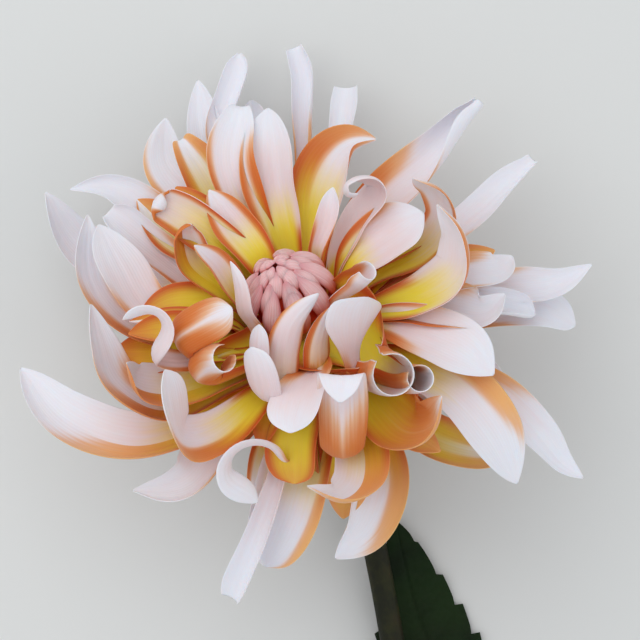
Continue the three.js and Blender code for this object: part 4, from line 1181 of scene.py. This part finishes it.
@dataclass(frozen=True)
class UnderFlorets:
    """The florets of the back, hidden from above, which meet the surface that the flower lies on."""

    count: int = 8
    golden_angle: float = 137.508
    first_azimuth: float = 75.0
    reach_back: float = 46.0
    reach_front: float = 37.0
    droop_back: float = -23.0
    droop_front: float = -17.0
    lowest: float = -38.9
    width: float = 15.0

    LOWER_HALF = -0.2  # sine of the azimuth under which a floret hangs on the near side
    SHARES = (0.42, 0.72, 1.0)  # of the reach, where the way has its points
    SAG = 1.4

    def blades(self) -> list[Blade]:
        """The forms, each at the golden angle from the one before."""
        made = []
        root_height = Whorl.UNDER.value[0]
        for number in range(self.count):
            azimuth = self.first_azimuth + number * self.golden_angle
            lower = math.sin(math.radians(azimuth)) < self.LOWER_HALF
            reach = self.reach_front if lower else self.reach_back
            slope = HEAD.on_head(azimuth, 1.0, 0.0)[2]
            at_surface = (self.lowest - reach * slope) / HEAD.axis[2]
            fall = max(self.droop_front if lower else self.droop_back, at_surface) - root_height
            way = tuple(
                tuple(HEAD.on_head(azimuth, reach * share, root_height + fall * share**self.SAG))
                for share in self.SHARES
            )
            made.append(
                Blade(way, self.width, Whorl.UNDER, cup=(30, 45, 35), band=(0.5, 0.5), reach=0.6)
            )
        return made


@dataclass(frozen=True)
class Receptacle:
    """The body that carries the florets."""

    sides: int = 32
    profile: tuple[Pair, ...] = (
        (9.5, -8.7), (12, -6.5), (13.2, -2.5), (12.9, 1), (11.8, 4), (10.2, 7), (7.8, 9.1), (5.5, 9.7),
    )

    def build(self, material: bpy.types.Material) -> None:
        """Builds and dresses the receptacle."""
        body = turned_body("receptacle", self.profile, self.sides)
        round_off(body, 1)
        dress(body, "bloom", "bloom", material)


@dataclass(frozen=True)
class BudWhorl:
    """One ring of closed florets: how many, how far turned, how wide, and their way."""

    count: int
    turn: float
    width: float
    way: tuple[Pair, ...]


@dataclass(frozen=True)
class ClosedMiddle:
    """The closed middle: small florets in whorls, folded over a core."""

    rows: int = 22
    columns: int = 10
    core_sides: int = 24
    groove: float = 0.08
    ripple: float = 0.1
    lean: float = 14.0
    thickness: float = 0.5
    core: tuple[Pair, ...] = ((6.4, 10), (9.2, 12.6), (9.4, 16), (7.8, 20), (5.2, 23.6), (0.6, 26))
    whorls: tuple[BudWhorl, ...] = (
        BudWhorl(9, 0, 6.8, ((7.8, 11.2), (11.3, 14), (11.4, 18.5), (8.8, 22.8), (5.2, 25.8))),
        BudWhorl(7, 25, 6.2, ((7, 16), (9.2, 19), (8, 23), (4.4, 26.8))),
        BudWhorl(6, 10, 5.6, ((3.4, 20), (6, 23.4), (4.6, 26.4), (1.4, 28))),
        BudWhorl(4, 35, 4.4, ((2, 23), (3.4, 25.6), (2.6, 27.8), (0.6, 28.8))),
    )

    def build(self, petal: bpy.types.Material, inside: bpy.types.Material) -> None:
        """Builds and dresses the core and the closed florets.

        Args:
            petal: The closed florets' material.
            inside: The core's material.
        """
        core = turned_body("bud_core", self.core, self.core_sides)
        round_off(core, 1)
        dress(core, "bud", "bud", inside)
        blank = BladeBlank("closed_blank", self.rows, self.columns)
        sheets = []
        for whorl in self.whorls:
            for k in range(whorl.count):
                azimuth = whorl.turn + 360.0 * k / whorl.count
                way = tuple(
                    HEAD.on_head(azimuth + self.lean * i / (len(whorl.way) - 1), radius, height)
                    for i, (radius, height) in enumerate(whorl.way)
                )
                blade = Blade(way[1:], whorl.width, cup=(25, 60, 70), widest=0.5, tip=(2, 0.6))
                inward = HEAD.on_head(azimuth, -1, 0)
                number = len(sheets)
                surface = BladeSurface(
                    blade, way[:1], inward, self.rows, self.columns, number, self.groove, self.ripple
                )
                sheets.append(blank.bent(surface, (1.0, 1.0, 0.0, (number * GOLDEN_SHARE) % 1.0)))
        blank.remove()
        dress_sheets("closed_florets", sheets, self.thickness, "bud", [petal] * 3)


@dataclass(frozen=True)
class Calyx:
    """The green cup behind the florets, with its bracts bent back."""

    profile: tuple[Pair, ...] = ((3.3, -21), (4.4, -19), (6.6, -16.5), (9.4, -12.5), (10.8, -9))
    sides: int = 28
    bracts: int = 6
    first_azimuth: float = 20.0
    width: float = 9.0
    thickness: float = 0.9
    rows: int = 20
    columns: int = 10
    way: tuple[Pair, ...] = ((5, -15.5), (9, -15.2), (14.5, -16.5), (19, -20), (21.5, -25))

    def build(self, material: bpy.types.Material) -> None:
        """Builds and dresses the cup and the bracts."""
        cup = turned_body("calyx_cup", self.profile, self.sides)
        round_off(cup, 1)
        dress(cup, "calyx", "calyx", material)
        blank = BladeBlank("bract_blank", self.rows, self.columns)
        sheets = []
        for number in range(self.bracts):
            azimuth = self.first_azimuth + 360.0 * number / self.bracts
            way = tuple(HEAD.on_head(azimuth, radius, height) for radius, height in self.way)
            blade = Blade(way[1:], self.width, cup=(25, 30, 20), widest=0.55, tip=(1.8, 0.9), base=0.5)
            surface = BladeSurface(blade, way[:1], HEAD.axis, self.rows, self.columns, number)
            sheets.append(blank.bent(surface, (1.0, 1.0, 0.0, 0.5)))
        blank.remove()
        dress_sheets("calyx_bracts", sheets, self.thickness, "calyx", [material] * 3)


@dataclass(frozen=True)
class Stem:
    """The cut stem, which leaves the calyx along the head's axis and comes down to the surface."""

    radius: float = 3.05
    sides: int = 28
    steps: int = 90
    top: float = -21.3
    straight: float = 3.7
    way: Way = (
        (11.2, -28, -27.6),
        (18.75, -62.9, -31.6),
        (23.6, -89, -33),
        (29.8, -113, -34.2),
        (37.6, -140, -35.6),
        (56, -198, -36.35),
    )

    PITH_INSET = 0.22  # share of the radius that the skin takes on the cut face
    HEART_INSET = 0.3  # share of it between the pith's edge and its sunk heart
    HEART_DIP = 0.5  # in millimetres
    HEART_EDGE = 0.6  # share of the radius, between the heart's ring and the pith's
    PITH_EDGE = 0.9  # share of the radius, between the pith's ring and the skin
    RIBS = 8
    RIB_TURN = 0.02  # of the ribs from ring to ring, in radians
    RIB_HEIGHT = 0.012  # share of the radius
    KNOT_HEIGHT = 0.008  # share of the radius
    KNOTS = 0.31  # of a wave from ring to ring, in radians

    def cylinder(self) -> bpy.types.Object:
        """A straight cylinder with rings along it and two insets on its cut face."""
        deselect()
        bpy.ops.mesh.primitive_cylinder_add(
            vertices=self.sides, radius=self.radius, depth=1.0, end_fill_type="NGON"
        )
        stem = bpy.context.active_object
        stem.name = "stem"
        mesh = stem.data
        bpy.ops.object.mode_set(mode="EDIT")
        bpy.ops.mesh.select_mode(type="EDGE")
        bpy.ops.mesh.select_all(action="DESELECT")
        bpy.ops.object.mode_set(mode="OBJECT")
        for edge in mesh.edges:
            low, high = (mesh.vertices[k].co.z for k in edge.vertices)
            edge.select = abs(low - high) > 0.5
        bpy.ops.object.mode_set(mode="EDIT")
        bpy.ops.mesh.subdivide_edgering(number_cuts=self.steps - 1, interpolation="LINEAR")
        bpy.ops.mesh.select_mode(type="FACE")
        bpy.ops.mesh.select_all(action="DESELECT")
        bpy.ops.object.mode_set(mode="OBJECT")
        for face in mesh.polygons:
            face.select = face.normal.z < -0.9
        bpy.ops.object.mode_set(mode="EDIT")
        for inset in (self.PITH_INSET, self.HEART_INSET):
            bpy.ops.mesh.inset(thickness=self.radius * inset, depth=0)
        bpy.ops.object.mode_set(mode="OBJECT")
        return stem

    def bent(self, flat: np.ndarray, row: np.ndarray) -> np.ndarray:
        """The cylinder's points laid along the stem's way.

        Args:
            flat: The points of the straight cylinder.
            row: The ring that each point lies on, from the calyx down.

        Returns:
            The points, in millimetres in the head frame.
        """
        start = [HEAD.axis * self.top, HEAD.axis * (self.top - self.straight)]
        line, _ = through_points(np.array([*start, *self.way], float), self.steps + 1)
        headings = directions(line)
        side = np.cross(headings, np.array([0.0, 0.0, 1.0]))
        side /= np.linalg.norm(side, axis=1)[:, None]
        rise = np.cross(side, headings)
        angle = np.arctan2(flat[:, 1], flat[:, 0])
        ribs = self.RIB_HEIGHT * np.sin(angle * self.RIBS + row * self.RIB_TURN)
        knots = self.KNOT_HEIGHT * np.sin(row * self.KNOTS + angle)
        swell = 1 + ribs + knots
        inside = np.hypot(flat[:, 0], flat[:, 1]) < self.radius * self.HEART_EDGE
        heart = (row == self.steps) & inside
        return (
            line[row]
            + side[row] * (flat[:, 0] * swell)[:, None]
            + rise[row] * (flat[:, 1] * swell)[:, None]
            + headings[row] * np.where(heart, -self.HEART_DIP, 0.0)[:, None]
        )

    def build(self, skin: bpy.types.Material, pith: bpy.types.Material) -> None:
        """Builds and dresses the stem.

        Args:
            skin: The stem's material.
            pith: The material of its cut face.
        """
        stem = self.cylinder()
        mesh = stem.data
        flat = np.array([vertex.co for vertex in mesh.vertices])
        row = np.clip(np.rint((0.5 - flat[:, 2]) * self.steps).astype(int), 0, self.steps)
        mesh.vertices.foreach_set("co", HEAD.carried(self.bent(flat, row)).ravel())
        mesh.materials.append(skin)
        mesh.materials.append(pith)
        for face in mesh.polygons:
            corners = list(face.vertices)
            reach = np.hypot(*flat[corners][:, :2].T).max()
            if row[corners].min() == self.steps and reach < self.radius * self.PITH_EDGE:
                face.material_index = 1
        mesh.update()
        make_active(stem)
        bpy.ops.object.mode_set(mode="EDIT")
        bpy.ops.mesh.select_all(action="SELECT")
        bpy.ops.mesh.normals_make_consistent(inside=False)
        bpy.ops.object.mode_set(mode="OBJECT")
        bpy.ops.object.shade_smooth_by_angle(angle=math.radians(50))
        dress(stem, "stem", "stem", skin, pith)


@dataclass(frozen=True)
class Leaf:
    """The toothed leaf, which lies beside the stem with its tip towards the flower.

    petiole is half the width of its stalk, and fold how far its edges rise over its middle.
    """

    rows: int = 150
    columns: int = 40
    teeth: int = 5
    width: float = 25.5
    petiole: float = 1.7
    fold: float = 0.6
    thickness: float = 0.7
    veins: int = 8
    midrib: Way = (
        (33.3, -112, -34.4),
        (36.8, -110.8, -35),
        (39.6, -103.5, -36.8),
        (35.2, -90, -38.2),
        (28.5, -74, -38.3),
        (22.5, -49, -36),
    )

    STALK = 0.12  # share of the length before the blade opens out
    FIRST_TOOTH = 0.24  # share of the length
    TOOTHED = 0.7  # share of the length
    TOOTH_WAY = (0.0, 0.5, 0.53)  # start, peak and end of a tooth, as shares of 1 / teeth
    TOOTH_WIDTH = (0.93, 1.04, 0.87)  # share of the half width at each of them
    TIP_START = 0.9
    TIP_WIDTH = 0.3
    VEIN_SLANT = 0.30  # share of the length by which side veins run forward
    VEIN_WIDTH = 0.10  # share of the gap between side veins
    VEIN_DEPTH = 0.22  # in millimetres, as the other depths
    MIDRIB_WIDTH = 0.06  # share of the half width
    MIDRIB_DEPTH = 0.4
    WAVE_HEIGHT = 0.25

    def half_width(self, u: np.ndarray) -> np.ndarray:
        """Half the leaf's width at u, with its teeth, in millimetres."""
        full = self.fullness(u)
        knots, shares = [0.0, 0.18], [1.0, 1.0]
        for tooth in range(self.teeth):
            start = self.FIRST_TOOTH + self.TOOTHED * tooth / self.teeth
            knots += [start + way / self.teeth for way in self.TOOTH_WAY]
            shares += self.TOOTH_WIDTH
        knots += [0.94, 1.0]
        shares += [1.0, 1.0]
        least = np.where(u > self.TIP_START, self.TIP_WIDTH, self.petiole)
        return np.maximum(least, self.width / 2 * full * np.interp(u, knots, shares))

    def fullness(self, u: np.ndarray) -> np.ndarray:
        """How full the leaf's outline is at u, without its teeth."""
        share = np.clip((u - self.STALK) / (1 - self.STALK), 0.0, 1.0)
        return np.maximum(np.sin(np.pi * share**0.75), 0.0) ** 0.8

    def build(self, material: bpy.types.Material) -> None:
        """Builds and dresses the leaf."""
        blank = BladeBlank("leaf_blank", self.rows, self.columns)
        line, _ = through_points(np.array(self.midrib, float), self.rows + 1)
        headings = directions(line)
        side = np.stack([headings[:, 1], -headings[:, 0], np.zeros(len(line))], 1)
        side /= np.linalg.norm(side, axis=1)[:, None]
        along, across = np.linspace(0, 1, self.rows + 1), np.linspace(-1, 1, self.columns + 1)
        u, v = np.meshgrid(along, across, indexing="ij")
        half = self.half_width(u)
        full = self.fullness(u)
        away = np.abs(v)
        lift = self.fold * (away - 0.5) * full
        place = (u - self.VEIN_SLANT * away * (1 - u)) * self.veins
        vein = np.exp(-(((place - np.rint(place)) / self.VEIN_WIDTH) ** 2)) * smooth_step(away, 1.0, 0.7)
        lift -= self.VEIN_DEPTH * vein * full
        lift -= self.MIDRIB_DEPTH * np.exp(-((v / self.MIDRIB_WIDTH) ** 2)) * full
        lift += self.WAVE_HEIGHT * full * np.sin(u * 23 + v * 3) * away**2
        points = line[:, None] + side[:, None] * (v * half)[..., None]
        points[..., 2] += lift
        sheet = blank.placed(points, (0.0, 0.0, 0.0, 0.5))
        blank.remove()
        sheet.name = "leaf"
        sheet.data.name = "leaf"
        for _ in range(3):
            sheet.data.materials.append(material)
        thicken(sheet, self.thickness, 0)
        dress(sheet, "leaf", "leaf")


# The studio


@dataclass(frozen=True)
class Studio:
    """The floor, the lights and the camera.

    floor_side is in metres. distance is how high the camera hangs, frame_width what it sees of the
    flower and aim what it looks at, in millimetres in the head frame.
    """

    floor_side: float = 6.0
    distance: float = 1200.0
    frame_width: float = 160.0
    aim: Pair = (3.25, 2.5)
    sensor: float = 36.0

    def placed(self, point: Triple) -> Vector:
        """A point of the head frame, in millimetres, in the part's frame."""
        return HEAD.matrix() @ Vector(point)

    def build(self) -> None:
        """Builds the floor, the lights and the camera."""
        self.floor()
        self.lights()
        self.camera()

    def floor(self) -> None:
        """A plain pale floor."""
        deselect()
        bpy.ops.mesh.primitive_plane_add(size=self.floor_side, location=(0, 0, 0))
        floor = bpy.context.active_object
        floor.name = "floor"
        made, _, shader = shader_material("pale_floor")
        pale = {"Base Color": linear(221, 222, 220), "Roughness": 0.9, "Specular IOR Level": 0.1}
        set_inputs(shader, pale)
        floor.data.materials.append(made)

    def area(self, name: str, place: Triple, size: float, power: float, colour: Triple) -> None:
        """A square soft light that faces the flower.

        Args:
            name: Name of the light.
            place: Where it hangs, in metres in the head frame.
            size: Its side, in metres.
            power: In watts.
            colour: Its colour.
        """
        deselect()
        here = self.placed(tuple(value / MM for value in place))
        bpy.ops.object.light_add(type="AREA", location=here)
        light = bpy.context.active_object
        light.name = name
        light.data.size = size
        light.data.energy = power
        light.data.color = colour
        target = self.placed((0.0, 0.0, 0.0))
        light.rotation_euler = (target - here).to_track_quat("-Z", "Y").to_euler()

    def lights(self) -> None:
        """A broad soft light from the upper left, a weak one from the right, and a pale sky."""
        self.area("window", (-0.4, 0.4, 0.75), size=1.1, power=3.8, colour=(1.0, 1.0, 0.99))
        self.area("fill", (1.2, -0.7, 1.1), size=1.4, power=3.5, colour=(1.0, 0.98, 0.97))
        world = bpy.data.worlds.new("sky")
        bpy.context.scene.world = world
        world.use_nodes = True
        pale = {"Color": (0.93, 0.96, 1.0, 1.0), "Strength": 0.72}
        set_inputs(world.node_tree.nodes["Background"], pale)
        bpy.context.scene.view_settings.view_transform = "Standard"
        bpy.context.scene.view_settings.look = "None"

    def camera(self) -> None:
        """A camera that looks straight down on the flower as it lies."""
        deselect()
        here = self.placed((*self.aim, self.distance))
        bpy.ops.object.camera_add(location=here, rotation=(0, 0, -math.radians(HEAD.turn)))
        camera = bpy.context.active_object
        camera.name = "camera"
        camera.data.sensor_width = self.sensor
        camera.data.lens = self.sensor * self.distance / self.frame_width
        camera.data.clip_start = 0.05
        camera.data.clip_end = 20.0
        bpy.context.scene.camera = camera


@dataclass(frozen=True)
class Dahlia:
    """The whole flower."""

    florets: RayFlorets = RayFlorets()
    under: UnderFlorets = UnderFlorets()
    receptacle: Receptacle = Receptacle()
    middle: ClosedMiddle = ClosedMiddle()
    calyx: Calyx = Calyx()
    stem: Stem = Stem()
    leaf: Leaf = Leaf()

    def build(self) -> None:
        """Builds every piece with its materials."""
        marks = PetalMarks(PetalPalette())
        # each side takes its own share of the deep red of painted shade
        face = PetalFinish("floret_inner_face", band_share=1.0, yellow=1.0, shade_red=0.95, fleck=0.04)
        back = PetalFinish("floret_outer_face", band_share=0.7, yellow=0.3, shade_red=0.9, fleck=0.05)
        rim = PetalFinish("floret_rim", band_share=1.5, yellow=0.4, shade_red=0.2, fleck=0.0, glow=0.5)
        petals = [finish.material(marks) for finish in (face, back, rim)]
        first = 0
        for name, blades in FLORETS.items():
            self.florets.build(name, blades, first, petals)
            first += len(blades)
        self.florets.build("florets_under", self.under.blades(), first, petals)
        self.receptacle.build(RECEPTACLE_OCHRE.material())
        self.middle.build(BudFinish().material(), BUD_CORE_RED.material())
        self.calyx.build(CALYX_GREEN.material())
        self.stem.build(STEM_SKIN.material(), STEM_PITH.material())
        self.leaf.build(SHADED_LEAF_GREEN.material())


def main() -> None:
    """Builds the studio and the flower."""
    logging.basicConfig(level=logging.INFO, format="%(name)s %(message)s")
    Studio().build()
    Dahlia().build()


if __name__ == "__main__":
    main()
